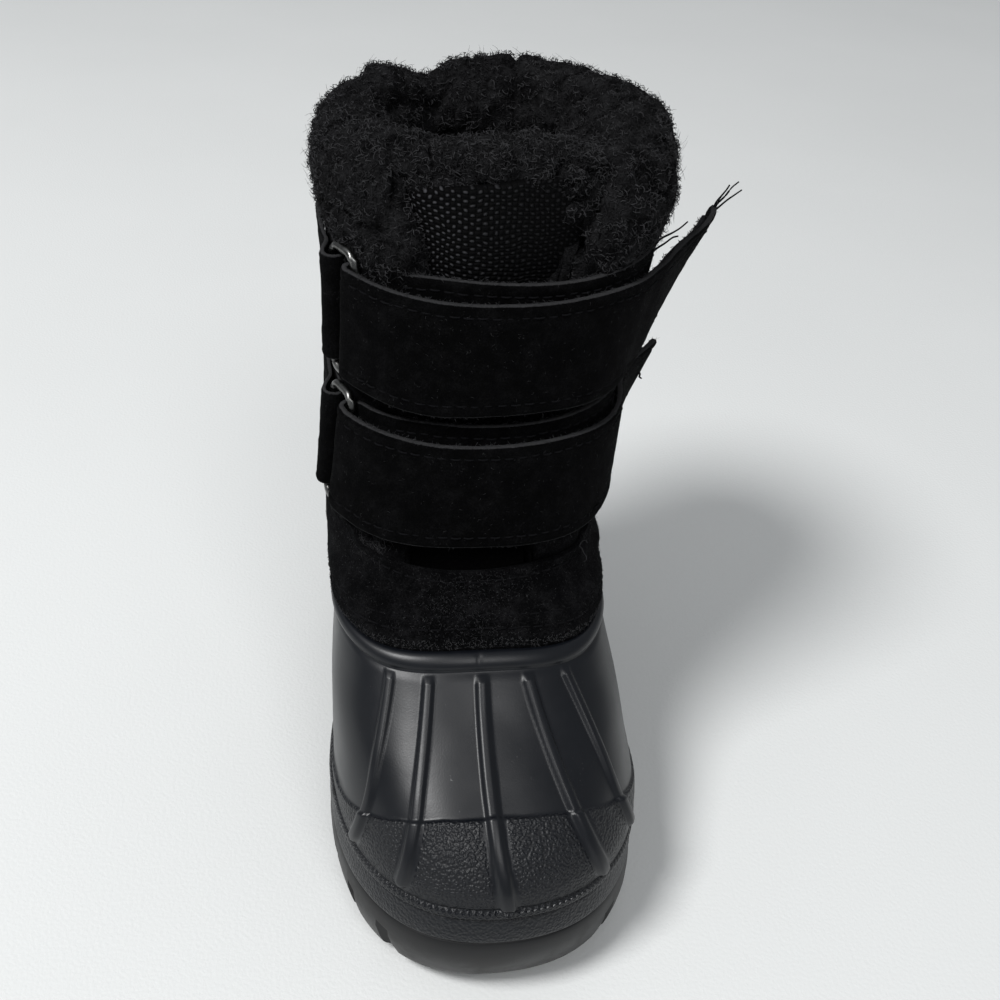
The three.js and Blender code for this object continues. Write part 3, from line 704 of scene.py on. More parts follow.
SOLE_RUBBER = rubber_finish("Sole rubber", (0.0046, 0.0049, 0.0056), 0.46, 0.14, 0.6)
SHELL_RUBBER = rubber_finish("Foot rubber", (0.0032, 0.0041, 0.0062), 0.36, 0.07, 0.9)
SUEDE = suede_finish(
    "Black suede", (0.0007, 0.0007, 0.0009), (0.0135, 0.0135, 0.0145), (0.05, 0.05, 0.05), 0.008
)
STRAP_SUEDE = suede_finish(
    "Strap suede", (0.0005, 0.0005, 0.0006), (0.0058, 0.0058, 0.0062), (0.05, 0.05, 0.052), 0.004
)
FLEECE = fleece_finish()
PILE = pile_finish()
WEAVE = weave_finish()
THREAD = thread_finish("Black thread", (0.0032, 0.0032, 0.0038))
LINT = thread_finish("Grey lint", (0.038, 0.038, 0.04))
TAPE = thread_finish("Hook tape", (0.014, 0.014, 0.016))
WIRE = wire_finish()


# ---- Camera, light and floor
CAMERA_PLACE = (-47.2, -269.4, 295.4)
CAMERA_DOWN = 36.0
CAMERA_TURN = 11.5
CAMERA_ROLL = 5.5
CAMERA_LENS = 44.0
FLOOR_HALF = 14.0


def make_camera():
    """The camera stands above and in front of the toe, a little to the medial side."""
    data = bpy.data.cameras.new("camera")
    data.lens = CAMERA_LENS
    camera = bpy.data.objects.new("camera", data)
    camera.location = (np.array(CAMERA_PLACE) - ZERO) * MM
    aim = Matrix.Rotation(-math.radians(CAMERA_TURN), 4, "Z")
    aim = aim @ Matrix.Rotation(math.pi / 2 - math.radians(CAMERA_DOWN), 4, "X")
    aim = aim @ Matrix.Rotation(math.radians(CAMERA_ROLL), 4, "Z")
    camera.rotation_euler = aim.to_euler()
    bpy.context.scene.collection.objects.link(camera)
    bpy.context.scene.camera = camera


def area_light(name, place, target, size, power):
    data = bpy.data.lights.new(name, "AREA")
    data.shape = "DISK"
    data.size = size
    data.energy = power
    light = bpy.data.objects.new(name, data)
    light.location = place
    light.rotation_euler = (Vector(target) - Vector(place)).to_track_quat("-Z", "Y").to_euler()
    bpy.context.scene.collection.objects.link(light)


def make_studio():
    world = bpy.data.worlds.new("studio")
    world.use_nodes = True
    background = world.node_tree.nodes["Background"]
    background.inputs["Color"].default_value = (0.93, 0.96, 1.0, 1.0)
    background.inputs["Strength"].default_value = 0.3
    bpy.context.scene.world = world
    bpy.context.scene.view_settings.view_transform = "Standard"
    area_light("soft key", (-1.05, -0.5, 1.75), (0, 0, 0.06), 0.62, 36.0)
    area_light("front fill", (0.25, -1.4, 1.8), (0, 0, 0.1), 0.9, 11.0)
    area_light("back fill", (0.7, 1.5, 1.1), (0, 0, 0.1), 1.2, 1.6)
    mesh = bpy.data.meshes.new("backdrop")
    corners = [(x * FLOOR_HALF, y * FLOOR_HALF, 0) for x, y in ((-1, -1), (1, -1), (1, 1), (-1, 1))]
    mesh.from_pydata(corners, [], [(0, 1, 2, 3)])
    mesh.materials.append(floor_finish())
    floor = bpy.data.objects.new("backdrop", mesh)
    bpy.context.scene.collection.objects.link(floor)


make_camera()
make_studio()


# ---- Outsole
LUG_DEPTH = 4.5
LUG_GAP = 4.5
CROSS_GROOVES = (-77.0, -62.5, -48.0, -33.5, -19.0, 50.0, 64.5, 79.0)
LONG_GROOVES = (-17.0, 4.0, 25.0)
LONG_GROOVE_MIDDLES = (-69.75, -55.25, -40.75, -26.25, 57.25, 71.75)
SLOT_DEPTH = 2.4
SLOT_HEIGHT = 11.5
WALL_MIDDLE = 6.0
ARCH_LIFT = 3.2
ARCH_FADE = 12.0  # height above which the arch no longer shows


def arch_lift(y):
    return ARCH_LIFT * np.minimum(ease(0, 9, y), 1 - ease(33, 42, y))


def tread_point(azimuth, height, out):
    point = offset_point(azimuth, height, out)
    y = point[..., 1]
    point[..., 2] = height + spring_lift(y, height) + arch_lift(y) * np.clip(1 - height / ARCH_FADE, 0, 1)
    return point


def box_points(middle, size):
    around = ((-0.5, -0.5), (0.5, -0.5), (0.5, 0.5), (-0.5, 0.5))
    corners = np.array([(x, y, z) for z in (-0.5, 0.5) for x, y in around])
    return corners * size + middle


BOX_FACES = np.array([(3, 2, 1, 0), (4, 5, 6, 7), (0, 1, 5, 4), (1, 2, 6, 5), (2, 3, 7, 6), (3, 0, 4, 7)])


def tread_cutters():
    """Boxes for the grooves of the tread and for the slots that they leave up the side wall."""
    boxes = []
    for y in CROSS_GROOVES:
        boxes.append(box_points((0, y, spring_lift(y, 0)), (120, LUG_GAP, 2 * LUG_DEPTH)))
        section = section_at(WALL_MIDDLE)
        azimuth = np.arccos(1 - 2 * (y - section["toe"]) / (section["heel"] - section["toe"]))
        for side in (-1, 1):
            x = form_point(side * azimuth, WALL_MIDDLE)[0]
            boxes.append(box_points((x, y, spring_lift(y, 0)), (2 * SLOT_DEPTH, LUG_GAP * 0.9, 2 * SLOT_HEIGHT)))
    for x in LONG_GROOVES:
        for y in LONG_GROOVE_MIDDLES:
            boxes.append(box_points((x, y, spring_lift(y, 0)), (LUG_GAP * 0.7, 14.5, 2 * LUG_DEPTH)))
    return np.concatenate(boxes), np.concatenate([BOX_FACES + 8 * i for i in range(len(boxes))])


def make_outsole():
    around = 2 * math.pi * (np.arange(260) + 0.5) / 260
    profile = [
        (0.0, -1.2), (0.35, -0.45), (1.1, 0.0), (3.0, 0.15), (6.0, 0.2), (9.0, 0.2), (12.0, 0.1), (14.5, 0.0),
        (16.2, -0.1), (16.9, -0.45), (17.2, -1.0), (17.2, -SOLE_RIM), (13.0, -SOLE_RIM), (SOLE_FLOOR, -SOLE_RIM),
    ]
    rings = [tread_point(around, height, out) for height, out in profile]
    points = np.stack(rings)
    rows, columns = points.shape[:2]
    faces = [quad_faces(rows, columns, True)]
    first = np.arange(columns // 2 - 1)
    cap = np.stack([first, first + 1, columns - 2 - first, columns - 1 - first], -1)
    faces += [cap[:, ::-1], cap + (rows - 1) * columns]
    flat = np.stack([points[..., 0] + points[..., 1], points[..., 2]], -1)
    none = np.zeros(rows * columns)
    masks = {"pebble": none, "knurl": none}
    sole = make_piece("outsole_moulding", points, np.concatenate(faces), SOLE_RUBBER, "sole_rubber", flat, masks,
                      replaces=("outsole",))
    cut_points, cut_faces = tread_cutters()
    cutter = make_piece("tread cutter", cut_points, cut_faces, SOLE_RUBBER, "sole_rubber", smooth=False)
    groove = sole.modifiers.new("tread", "BOOLEAN")
    groove.object = cutter
    groove.solver = "EXACT"
    groove.use_self = True
    apply_modifiers(sole)
    bpy.data.objects.remove(cutter)
    harden(sole, 35)
    return sole


def apply_modifiers(piece):
    """Bakes a piece's modifiers into its mesh."""
    view = bpy.context.evaluated_depsgraph_get()
    shaped = piece.evaluated_get(view)
    made = bpy.data.meshes.new_from_object(shaped, preserve_all_data_layers=True, depsgraph=view)
    piece.modifiers.clear()
    old = piece.data
    piece.data = made
    bpy.data.meshes.remove(old)


def harden(piece, degrees):
    """Edges sharper than this shade as hard edges."""
    piece.data.set_sharp_from_angle(angle=math.radians(degrees))


# ---- Rubber shell
GIRTH_ROW = 60  # row of the shell's grid along which its flat coordinate is measured
BAND_RISE = 0.86
BAND_STANDS = 0.78
KNURL_LOW = 25.6
KNURL_HIGH = 28.4
# Ribs: azimuth in degrees and height at the top, the middle and the lower end, and how broad each is.
RIB_ROWS = (
    (-26, 71.0, -33, 54, -45.5, 31.5, 1.0),
    (-14, 72.0, -18.5, 54, -26, 32.0, 1.0),
    (-1, 72.5, -1, 52, 1, 28.9, 1.12),
    (9, 72.0, 16, 54, 27, 30.7, 1.08),
    (21, 71.2, 32, 54, 42.5, 33.6, 1.0),
)
# Top edge of the toe cap: azimuth in degrees from the middle, and height.
CAP_EDGE = ((0, 48.6), (13, 47.6), (26, 45.0), (42, 40.2), (58, 34.5), (75, 31.0), (180, 31.0))


def band_height(azimuth):
    from_toe = np.abs(np.arctan2(np.sin(azimuth), np.cos(azimuth)))
    side = lerp(72.0, 70.0, ease(0, math.radians(35), from_toe))
    waist = lerp(side, 61.0, ease(math.radians(60), math.radians(115), from_toe))
    return lerp(waist, 65.0, ease(math.radians(125), math.radians(175), from_toe))


def through(start, middle, end, t):
    """Smooth course through three values as t goes from 0 to 1."""
    return start * (1 - t) * (1 - 2 * t) + 4 * middle * t * (1 - t) + end * t * (2 * t - 1)


def rib_lines():
    t = np.linspace(0, 1, 60)
    lines = []
    for top, top_height, middle, middle_height, end, end_height, half in RIB_ROWS:
        azimuth = through(top, middle, end, t)
        height = through(top_height, middle_height, end_height, t)
        lines.append((form_point(np.radians(azimuth), height), half))
    return lines


def distance_to_line(points, line):
    """Distance of each point to a line of short segments, and how far along it lies (0..1)."""
    best = np.full(points.shape[:-1], 1e9)
    along = np.zeros_like(best)
    for i in range(len(line) - 1):
        start, run = line[i], line[i + 1] - line[i]
        share = np.clip(((points - start) @ run) / (run @ run), 0, 1)
        away = np.linalg.norm(points - start - share[..., None] * run, axis=-1)
        along = np.where(away < best, (i + share) / (len(line) - 1), along)
        best = np.minimum(best, away)
    return best, along


def front_weighted_azimuths(front_step, back_step, front=64):
    """Azimuths all round, closely spaced over the front."""
    front_part = np.arange(-front, front, front_step)
    count = int((360 - 2 * front) / back_step)
    back_part = front + (360 - 2 * front) * np.arange(count) / count
    return np.radians(np.concatenate([front_part, back_part]))


def make_shell():
    azimuth = front_weighted_azimuths(0.4, 2.2, 60)
    low = SOLE_TOP + 0.3
    levels = np.concatenate([np.linspace(0, 0.27, 44), np.linspace(0.275, 0.965, 116)])
    a, share = np.meshgrid(azimuth, levels)
    band = band_height(a)
    height = lerp(low, band, share)
    base = form_point(a, height)
    proud = shell_relief(wrapped_degrees(a), height, base)
    outer = base + form_normal(a, height) * proud[..., None]
    band_profile = [
        (-0.9, -0.1), (-0.35, -0.35), (0.0, -0.3), (0.25, 0.5), (0.8, 1.15), (1.6, 1.5), (2.5, 1.5), (3.3, 1.15),
        (3.8, 0.4), (4.0, -0.5), (3.9, -1.6), (3.4, -SHELL_WALL), (-6.0, -SHELL_WALL), (-20.0, -SHELL_WALL),
    ]
    top = band_height(azimuth)
    nick = 1 - 0.2 * bell(np.degrees(azimuth), -1.5, 0.5)
    rim = [
        offset_point(azimuth, top + BAND_RISE * rise, BAND_STANDS * out * np.where(out > 0.3, nick, 1.0))
        for rise, out in band_profile
    ]
    foot = [offset_point(azimuth, level, -SHELL_WALL) for level in (40.0, 30.0, low)]
    points = np.concatenate([outer, np.stack(rim + foot)])
    rows, columns = points.shape[:2]
    level = points[..., 2] * 0
    level[: len(levels)] = height
    cap = cap_edge(np.broadcast_to(wrapped_degrees(azimuth), (rows, columns)))
    pebble = ease(cap + 0.2, cap - 0.3, level) * (level > 0.1)
    pebble = pebble * (1 - ribs_mask(points))
    pebble = np.where(level < KNURL_LOW, 0.65 * (level > 0.1), pebble)
    knurl = ease(KNURL_LOW - 0.1, KNURL_LOW + 0.2, level) * ease(KNURL_HIGH + 0.1, KNURL_HIGH - 0.2, level)
    pebble = pebble * (1 - knurl)
    girth = points[GIRTH_ROW]
    run = np.cumsum(np.linalg.norm(np.diff(girth, axis=0, prepend=girth[:1]), axis=-1))
    flat = np.stack([run[None] + level * 0, level], -1)
    faces = quad_faces(rows, columns, True, True)
    masks = {"pebble": pebble, "knurl": knurl}
    make_piece("rubber_shell", points, faces, SHELL_RUBBER, "shell_rubber", flat, masks, replaces=("shell",))


def cap_edge(degrees):
    rows = np.array(CAP_EDGE, float)
    return np.interp(np.abs(degrees), rows[:, 0], rows[:, 1])


def ribs_mask(points):
    mask = np.zeros(points.shape[:-1])
    for line, half in rib_lines():
        away, _ = distance_to_line(points, line)
        mask = np.maximum(mask, ease(3.4 * half, 2.7 * half, away))
    return mask


def shell_relief(degrees, height, base):
    """How far the moulding stands out from the form: foxing, knurled line, toe cap and ribs."""
    cap = cap_edge(degrees)
    relief = 0.75 * ease(cap + 0.35, cap - 0.35, height)
    foxing = 0.5 * np.sqrt(np.clip(np.sin(math.pi * np.clip((height - 17.6) / (KNURL_LOW - 18.0), 0, 1)), 0, 1))
    relief = np.where(height < KNURL_LOW - 0.4, foxing + 0.35, relief)
    roll = np.clip((height - KNURL_LOW) / (KNURL_HIGH - KNURL_LOW), 0, 1)
    relief = relief + 0.75 * np.sqrt(np.clip(np.sin(math.pi * roll), 0, 1)) * (roll > 0) * (roll < 1)
    relief = relief - 0.5 * bell(height, KNURL_LOW - 0.3, 0.4) - 0.45 * bell(height, KNURL_HIGH + 0.3, 0.35)
    for line, half in rib_lines():
        away, along = distance_to_line(base, line)
        half = half * lerp(1.45, 1.75, along)
        crown = np.sqrt(np.clip(1 - (away / half) ** 2, 0, 1))
        foot = ease(half + 0.5, half - 0.9, away)
        relief = relief + 0.7 * half * (0.35 * crown + 0.65 * foot)
    relief = relief + 0.12 * rough(base, 14.0, 2, 5)
    return relief


make_outsole()
make_shell()


# ---- Suede upper: quarters, vamp and the fleece lining behind them
SUEDE_THICK = 1.2
SHAFT_WALL = 6.5
LINING_OUTSIDE = -3.5
VAMP_PROUD = 1.5
# Creases: azimuth in degrees, height, half length in degrees, rise per degree, depth, width.
CREASES = (
    (-8, 84.0, 40, 0.02, 0.7, 2.6),
    (38, 83.0, 28, -0.05, 0.6, 2.2),
    (-48, 86.0, 24, 0.08, 0.6, 2.4),
    (62, 92.0, 26, 0.16, 0.9, 3.0),
    (-70, 95.0, 26, -0.14, 0.9, 3.0),
    (98, 100.0, 30, 0.02, 1.3, 4.0),
    (-102, 101.0, 30, 0.03, 1.3, 4.0),
    (88, 131.5, 40, -0.03, 0.9, 3.2),
    (-84, 132.5, 34, 0.04, 0.8, 3.0),
    (140, 92.0, 30, 0.08, 1.0, 3.6),
    (-142, 94.0, 30, -0.06, 1.0, 3.6),
    (172, 112.0, 34, 0.02, 0.8, 4.5),
    (128, 120.0, 26, -0.12, 0.7, 3.4),
    (-130, 124.0, 26, 0.1, 0.7, 3.4),
)
# Where the hide swells out beside the straps: azimuth, height, half length, half height, swell.
BULGES = (
    (-78, 132.5, 44, 4.2, 4.0), (84, 132.0, 40, 3.2, 2.2), (-74, 95.0, 36, 3.6, 2.4), (74, 95.0, 34, 3.6, 1.2),
    (27, 95.0, 10, 4.0, 2.2), (-30, 93.0, 12, 3.0, 2.6), (-44, 98.0, 12, 3.0, 1.2),
)
# Upper edge of the vamp piece: azimuth in degrees from the toe, and height.
VAMP_EDGE = ((0, 90.4), (20, 90.8), (34, 92.6), (48, 97.0), (62, 105.0), (78, 116.0))


def creased(azimuth, height):
    """Soft troughs with a low ridge on each side, where hide folds as the ankle bends."""
    degrees = wrapped_degrees(azimuth)
    total = np.zeros(np.broadcast(degrees, height).shape)
    for middle, level, half, rise, depth, width in CREASES:
        along = (degrees - middle + 180) % 360 - 180
        wave = 0.9 * np.sin(along / 9.0 + level)
        off = height - level - rise * along - wave
        window = ease(1.0, 0.35, np.abs(along) / half)
        ridge = bell(off, 1.9 * width, width) + bell(off, -1.9 * width, width)
        total = total + 1.45 * window * depth * (0.42 * ridge - bell(off, 0, width))
    points = form_point(azimuth, height)
    for middle, level, half, height_half, swell in BULGES:
        along = (degrees - middle + 180) % 360 - 180
        total = total + swell * ease(1.0, 0.3, np.abs(along) / half) * bell(height, level, height_half)
    return total + 0.35 * rough(points, 22.0, 3, 11) + 0.1 * rough(points, 4.0, 2, 15)


def shaft_grid(rows, columns, low_rise, top):
    """Azimuths and heights of a grid from one throat edge round the heel to the other."""
    share = np.linspace(0, 1, rows)[:, None]
    across = np.linspace(0, 1, columns)[None]
    front = lerp(72.0 + BAND_HEIGHT + low_rise, top, share)
    half, centre = throat_at(np.maximum(front, THROAT_ROWS[0, 0]))
    half = half * ease(84.0, 86.5, front)
    right = azimuth_at(centre + half, front)
    left = azimuth_at(centre - half, front) + 2 * math.pi
    azimuth = lerp(right, left, across)
    height = lerp(band_height(azimuth) + BAND_HEIGHT + low_rise, top, share)
    return azimuth, height


def make_upper():
    azimuth, height = shaft_grid(86, 132, -2.5, 176.0)
    tuck = -3.0 * ease(4.5, 0.5, height - band_height(azimuth) - BAND_HEIGHT + 2.5)
    out = creased(azimuth, height) + tuck
    outer = offset_point(azimuth, height, out)
    inner = offset_point(azimuth, height, out - SUEDE_THICK)
    edge = np.zeros(outer.shape[:2])
    edge[:, :2] = 0.5
    edge[:, -2:] = 0.5
    uv = grid_uv(outer)
    slab("suede_quarters", outer, inner, SUEDE, "suede", uv, {"edge": edge}, replaces=("upper",))
    azimuth, height = shaft_grid(50, 90, -60.0, 168.0)
    deep = ease(6.0, -3.0, height - band_height(azimuth) - BAND_HEIGHT)
    height = np.maximum(height, SOLE_FLOOR + 0.4)
    outside = lerp(-SUEDE_THICK - 0.3, LINING_OUTSIDE, deep)
    inside = lerp(-SHAFT_WALL, LINING_OUTSIDE - 5.0, deep)
    outer = offset_point(azimuth, height, outside + creased(azimuth, height) * (1 - deep))
    inner = offset_point(azimuth, height, inside)
    fluff = 0.7 * rough(inner, 7.0, 3, 31)
    inner = inner + grid_normals(inner) * fluff[..., None]
    slab("fleece_lining", outer, inner, FLEECE, "fleece")


def vamp_edge(azimuth):
    rows = np.array(VAMP_EDGE, float)
    degrees = wrapped_degrees(azimuth)
    return np.interp(np.abs(degrees), rows[:, 0], rows[:, 1]) + 0.35 * np.sin(degrees / 7.0)


def vamp_out(azimuth, height):
    low = band_height(azimuth) + BAND_HEIGHT
    tuck = -3.2 * ease(2.6, 0.4, height - low + 2.0)
    bulge = 0.7 * bell(height - low, 7.0, 5.0)
    return VAMP_PROUD + creased(azimuth, height) + tuck + bulge


def make_vamp():
    rows, columns = 64, 220
    azimuth = np.radians(np.linspace(-80, 80, columns))[None]
    share = np.sin(np.linspace(0, 0.5 * math.pi, rows))[:, None]
    low = band_height(azimuth) + BAND_HEIGHT - 2.0
    height = lerp(low, vamp_edge(azimuth), share)
    azimuth = np.broadcast_to(azimuth, height.shape)
    out = vamp_out(azimuth, height)
    from_edge = vamp_edge(azimuth) - height
    out = out - 0.3 * bell(from_edge, 2.8, 0.6) - 0.25 * bell(height - low, 4.6, 0.5)
    out = out - 0.5 * ease(0.6, 0.0, from_edge)
    outer = offset_point(azimuth, height, out)
    inner = offset_point(azimuth, height, out - 1.4)
    edge = 0.55 * ease(0.7, 0.1, from_edge) + 1.0 * ease(1.5, 0.5, height - low)
    slab("suede_vamp", outer, inner, SUEDE, "suede", grid_uv(outer), {"edge": edge})


def stitch_row(path, normals, length=2.5, gap=0.9, radius=0.23, first=0.0):
    """Stitches along a path: each a short thread that dips into the hide at both ends."""
    run = np.concatenate([[0], np.cumsum(np.linalg.norm(np.diff(path, axis=0), axis=-1))])
    starts = np.arange(first, run[-1] - length, length + gap)
    share = np.linspace(0, 1, 6)
    where = starts[:, None] + length * share
    points = np.stack([np.interp(where, run, path[:, i]) for i in range(3)], -1)
    up = unit(np.stack([np.interp(where, run, normals[:, i]) for i in range(3)], -1))
    arch = radius * (1.5 * np.sin(math.pi * share) - 0.9)
    points = points + up * arch[:, None]
    jitter = rng.normal(0, 0.09, (len(starts), 1, 3))
    return points + jitter, np.full(points.shape[:2], radius)


def joined(rows):
    paths, radii = zip(*rows)
    return np.concatenate(paths), np.concatenate(radii)


def make_vamp_stitches():
    azimuth = np.radians(np.linspace(-76, 76, 400))
    rows = []
    for rise in (2.7, 5.0):
        height = band_height(azimuth) + BAND_HEIGHT + rise
        path = offset_point(azimuth, height, vamp_out(azimuth, height) - 0.1)
        rows.append(stitch_row(path, form_normal(azimuth, height), first=rise))
    height = vamp_edge(azimuth) - 2.8
    path = offset_point(azimuth, height, vamp_out(azimuth, height) - 0.15)
    rows.append(stitch_row(path, form_normal(azimuth, height)))
    paths, radii = joined(rows)
    tubes("vamp_stitches", paths, radii, 6, THREAD, "suede")


# ---- Fleece: the cuff, and curls of pile scattered over it
# Section of the cuff: out from the form, and height.
CUFF_PROFILE = (
    (-1.0, 156.0), (0.6, 161.0), (1.6, 167.0), (2.4, 174.0), (2.2, 180.0), (0.8, 185.5), (-2.2, 189.5),
    (-6.5, 191.5), (-11.0, 191.0), (-15.0, 188.5), (-18.0, 183.0), (-18.6, 176.0), (-17.0, 168.0),
    (-14.5, 158.0), (-12.3, 146.0), (-9.0, 138.0), (-6.0, 139.0), (-3.5, 147.0),
)


def smooth_loop(rows, count):
    """Closed curve through rows of values, by Catmull-Rom."""
    rows = np.array(rows, float)
    where = np.linspace(0, len(rows), count, endpoint=False)
    i = where.astype(int)
    t = (where - i)[:, None]
    p0, p1, p2, p3 = (rows[(i + k) % len(rows)] for k in (-1, 0, 1, 2))
    return 0.5 * (2 * p1 + (p2 - p0) * t + (2 * p0 - 5 * p1 + 4 * p2 - p3) * t ** 2
                  + (3 * p1 - p0 - 3 * p2 + p3) * t ** 3)


def cuff_rise(azimuth):
    """How much higher or lower the rolled top stands round the boot."""
    degrees = wrapped_degrees(azimuth)
    back = np.abs(degrees)
    dip = -4.0 * bell((degrees + 158 + 180) % 360 - 180, 0, 13)
    hump = 1.6 * bell(degrees, 140, 30) + 1.2 * bell(degrees, -128, 16)
    return dip + hump - 1.5 * ease(60, 25, back)


def cuff_grid(rows=84, columns=300):
    profile = smooth_loop(CUFF_PROFILE, rows)
    out, height = profile[:, :1], profile[:, 1:]
    level = np.clip(height, 120.0, RIM)
    half, centre = throat_at(level)
    right = azimuth_at(centre + half - 0.6, level)
    left = azimuth_at(centre - half + 0.6, level) + 2 * math.pi
    across = np.linspace(0, 1, columns)[None]
    azimuth = lerp(right, left, across)
    round_share = 0.028
    end = np.minimum(across, 1 - across) / round_share
    shrink = np.sqrt(np.clip(1 - (1 - np.clip(end, 0.02, 1)) ** 2, 0, 1))
    degrees = wrapped_degrees(azimuth)
    plump = 1 + 0.24 * bell(degrees, 112, 44) - 0.2 * bell(degrees, -148, 32)
    out = np.where(out < -6.0, -6.0 + (out + 6.0) * lerp(1.0, plump, ease(150, 172, height)), out)
    middle_out, middle_height = -6.0, 174.0
    out = middle_out + (out - middle_out) * shrink
    height = middle_height + (height - middle_height) * lerp(1.0, shrink, 0.6)
    height = height + cuff_rise(azimuth) * ease(170, 192, height)
    level = np.minimum(height, RIM)
    points = form_point(azimuth, level)
    points = points + flat_normal(azimuth, level) * out[..., None]
    points[..., 2] = height
    return points


CLUMP_SIZE = 10.0
CLUMP_DEPTH = 3.6
OUTSIDE_CURLS = 7200
INSIDE_CURLS = 5200
CUFF_HAIRS = 2600


def clumps(points):
    """Rounded clumps of pile with narrow valleys between them, about -1 to 0.3."""
    first = 1 - np.abs(noise(points, CLUMP_SIZE, 71)) * 4.0
    second = 1 - np.abs(noise(points, CLUMP_SIZE * 0.5, 72)) * 4.0
    return -0.62 * np.clip(first, 0, 1) ** 2 - 0.3 * np.clip(second, 0, 1) ** 2 + 0.3


def fluffed(points, lump, curl, seed):
    """Moves a fleece surface out and in by broad lumps and by tight curls."""
    along = np.gradient(points, axis=1)
    up = np.roll(points, -1, 0) - np.roll(points, 1, 0)
    normals = unit(np.cross(along, up))
    if np.sum(normals[..., 2] * (points[..., 2] - points[..., 2].mean())) < 0:
        normals = -normals
    height = lump * rough(points, 15.0, 2, seed) + CLUMP_DEPTH * clumps(points)
    height = height + curl * rough(points, 2.6, 2, seed + 7)
    return points + normals * height[..., None], normals


def scatter(points, normals, count, wanted=None):
    """Random places on a grid by area, with their normals."""
    a, b, c = points[:-1, :-1], points[:-1, 1:], points[1:, :-1]
    area = np.linalg.norm(np.cross(b - a, c - a), axis=-1)
    if wanted is not None:
        area = area * wanted(a)
    chosen = rng.choice(area.size, count, p=(area / area.sum()).ravel())
    row, column = np.unravel_index(chosen, area.shape)
    u, v = rng.random((2, count, 1))
    place = lerp(points[row, column], points[row, column + 1], u)
    place = place + (points[row + 1, column] - points[row, column]) * v
    return place, normals[row, column]


def frames(normals):
    """Two directions across each normal, turned at random."""
    guide = np.where(np.abs(normals[:, 2:3]) < 0.8, [[0, 0, 1.0]], [[1.0, 0, 0]])
    side = unit(np.cross(normals, guide))
    other = np.cross(normals, side)
    turn = rng.random((len(normals), 1)) * 2 * math.pi
    return side * np.cos(turn) + other * np.sin(turn), other * np.cos(turn) - side * np.sin(turn)


def curls(name, places, normals, slot, size=(0.28, 0.8), thick=(0.08, 0.15)):
    """Tight curls of pile, each a short helix lying on or standing off the fleece."""
    count = len(places)
    side, other = frames(normals)
    lean = rng.uniform(-0.2, 1.0, (count, 1))
    axis = unit(side + normals * lean)
    first = unit(np.cross(axis, other))
    second = np.cross(axis, first)
    radius = rng.uniform(*size, (count, 1, 1))
    length = rng.uniform(0.5, 1.9, (count, 1, 1))
    turns = rng.uniform(0.45, 0.95, (count, 1))
    t = np.linspace(0, 1, 4)
    angle = turns * 2 * math.pi * t + rng.random((count, 1)) * 2 * math.pi
    ring = first[:, None] * np.cos(angle)[..., None] + second[:, None] * np.sin(angle)[..., None]
    along = axis[:, None] * length * (t - 0.3)[:, None]
    paths = places[:, None] + normals[:, None] * 0.3 + ring * radius + along
    radii = rng.uniform(*thick, (count, 1)) * np.array([0.75, 1.0, 0.95, 0.45])
    # Painted shade: curls in the valleys between clumps are darker; the rest of the tone is random.
    tone = np.clip(0.22 * rng.random(count) + 0.62 + 1.15 * clumps(places), 0.05, 1) ** 2.0
    tubes(name, paths, radii, 3, PILE, slot, masks={"tone": tone[:, None, None]})


def hairs(name, places, normals, slot, length, thick, stand, material, tone=0.5):
    """Single fibres that stand off or lie on a surface, each slightly bent."""
    count = len(places)
    side, other = frames(normals)
    reach = rng.uniform(*length, (count, 1, 1))
    up = normals[:, None] * stand * rng.uniform(0.3, 1.0, (count, 1, 1))
    t = np.linspace(0, 1, 4)[:, None]
    bend = other[:, None] * rng.uniform(-0.5, 0.5, (count, 1, 1)) * t * t
    paths = places[:, None] + reach * (side[:, None] * t + up * t * (1 - 0.35 * t) + bend)
    paths = paths + normals[:, None] * 0.08
    radii = rng.uniform(*thick, (count, 1)) * np.array([1.0, 0.9, 0.75, 0.4])
    tubes(name, paths, radii, 3, material, slot, masks={"tone": np.full((count, 1, 1), tone)})


def rolled_fleece(name, points):
    """Closed roll from a grid whose rows go round its section, shut at both ends."""
    rows, columns = points.shape[:2]
    first = np.arange(rows // 2)
    cap = np.stack([first, first + 1, rows - 2 - first, rows - 1 - first], -1)[:-1] * columns
    faces = np.concatenate([quad_faces(rows, columns, False, True), cap[:, ::-1], cap + columns - 1])
    return make_piece(name, points, faces, FLEECE, "fleece")


def make_cuff():
    points, normals = fluffed(cuff_grid(), 1.2, 0.6, 40)
    rolled_fleece("fleece_cuff", points)
    rows = len(points)
    top = rows // 2
    place, normal = scatter(points[: top - 8], normals[: top - 8], OUTSIDE_CURLS)
    curls("cuff_pile_outside", place, normal, "fleece")
    place, normal = scatter(points[top - 9 : rows - 14], normals[top - 9 : rows - 14], INSIDE_CURLS)
    curls("cuff_pile_inside", place, normal, "fleece")
    place, normal = scatter(points[3 : top + 8], normals[3 : top + 8], CUFF_HAIRS)
    hairs("cuff_fuzz", place, normal, "fleece", (1.4, 3.9), (0.035, 0.065), 1.1, PILE)


# ---- Tongue: woven cloth in front, fleece behind and rolled over the top
TONGUE_RECESS = 2.5
TONGUE_CLOTH = 2.6
TONGUE_FOOT = 84.0
TONGUE_CURLS = 2700
TONGUE_HAIRS = 900
# Section of the tongue's fleece: back from the tongue's front, and height.
TONGUE_PROFILE = (
    (3.0, 96.0), (3.2, 130.0), (3.2, 165.0), (3.2, 180.0), (2.6, 185.6), (3.4, 188.6), (6.5, 191.6),
    (11.0, 192.6), (16.0, 192.0), (20.0, 189.2), (21.5, 184.0), (19.5, 178.0), (15.0, 169.0), (10.0, 158.0),
    (8.5, 130.0), (7.0, 98.0),
)


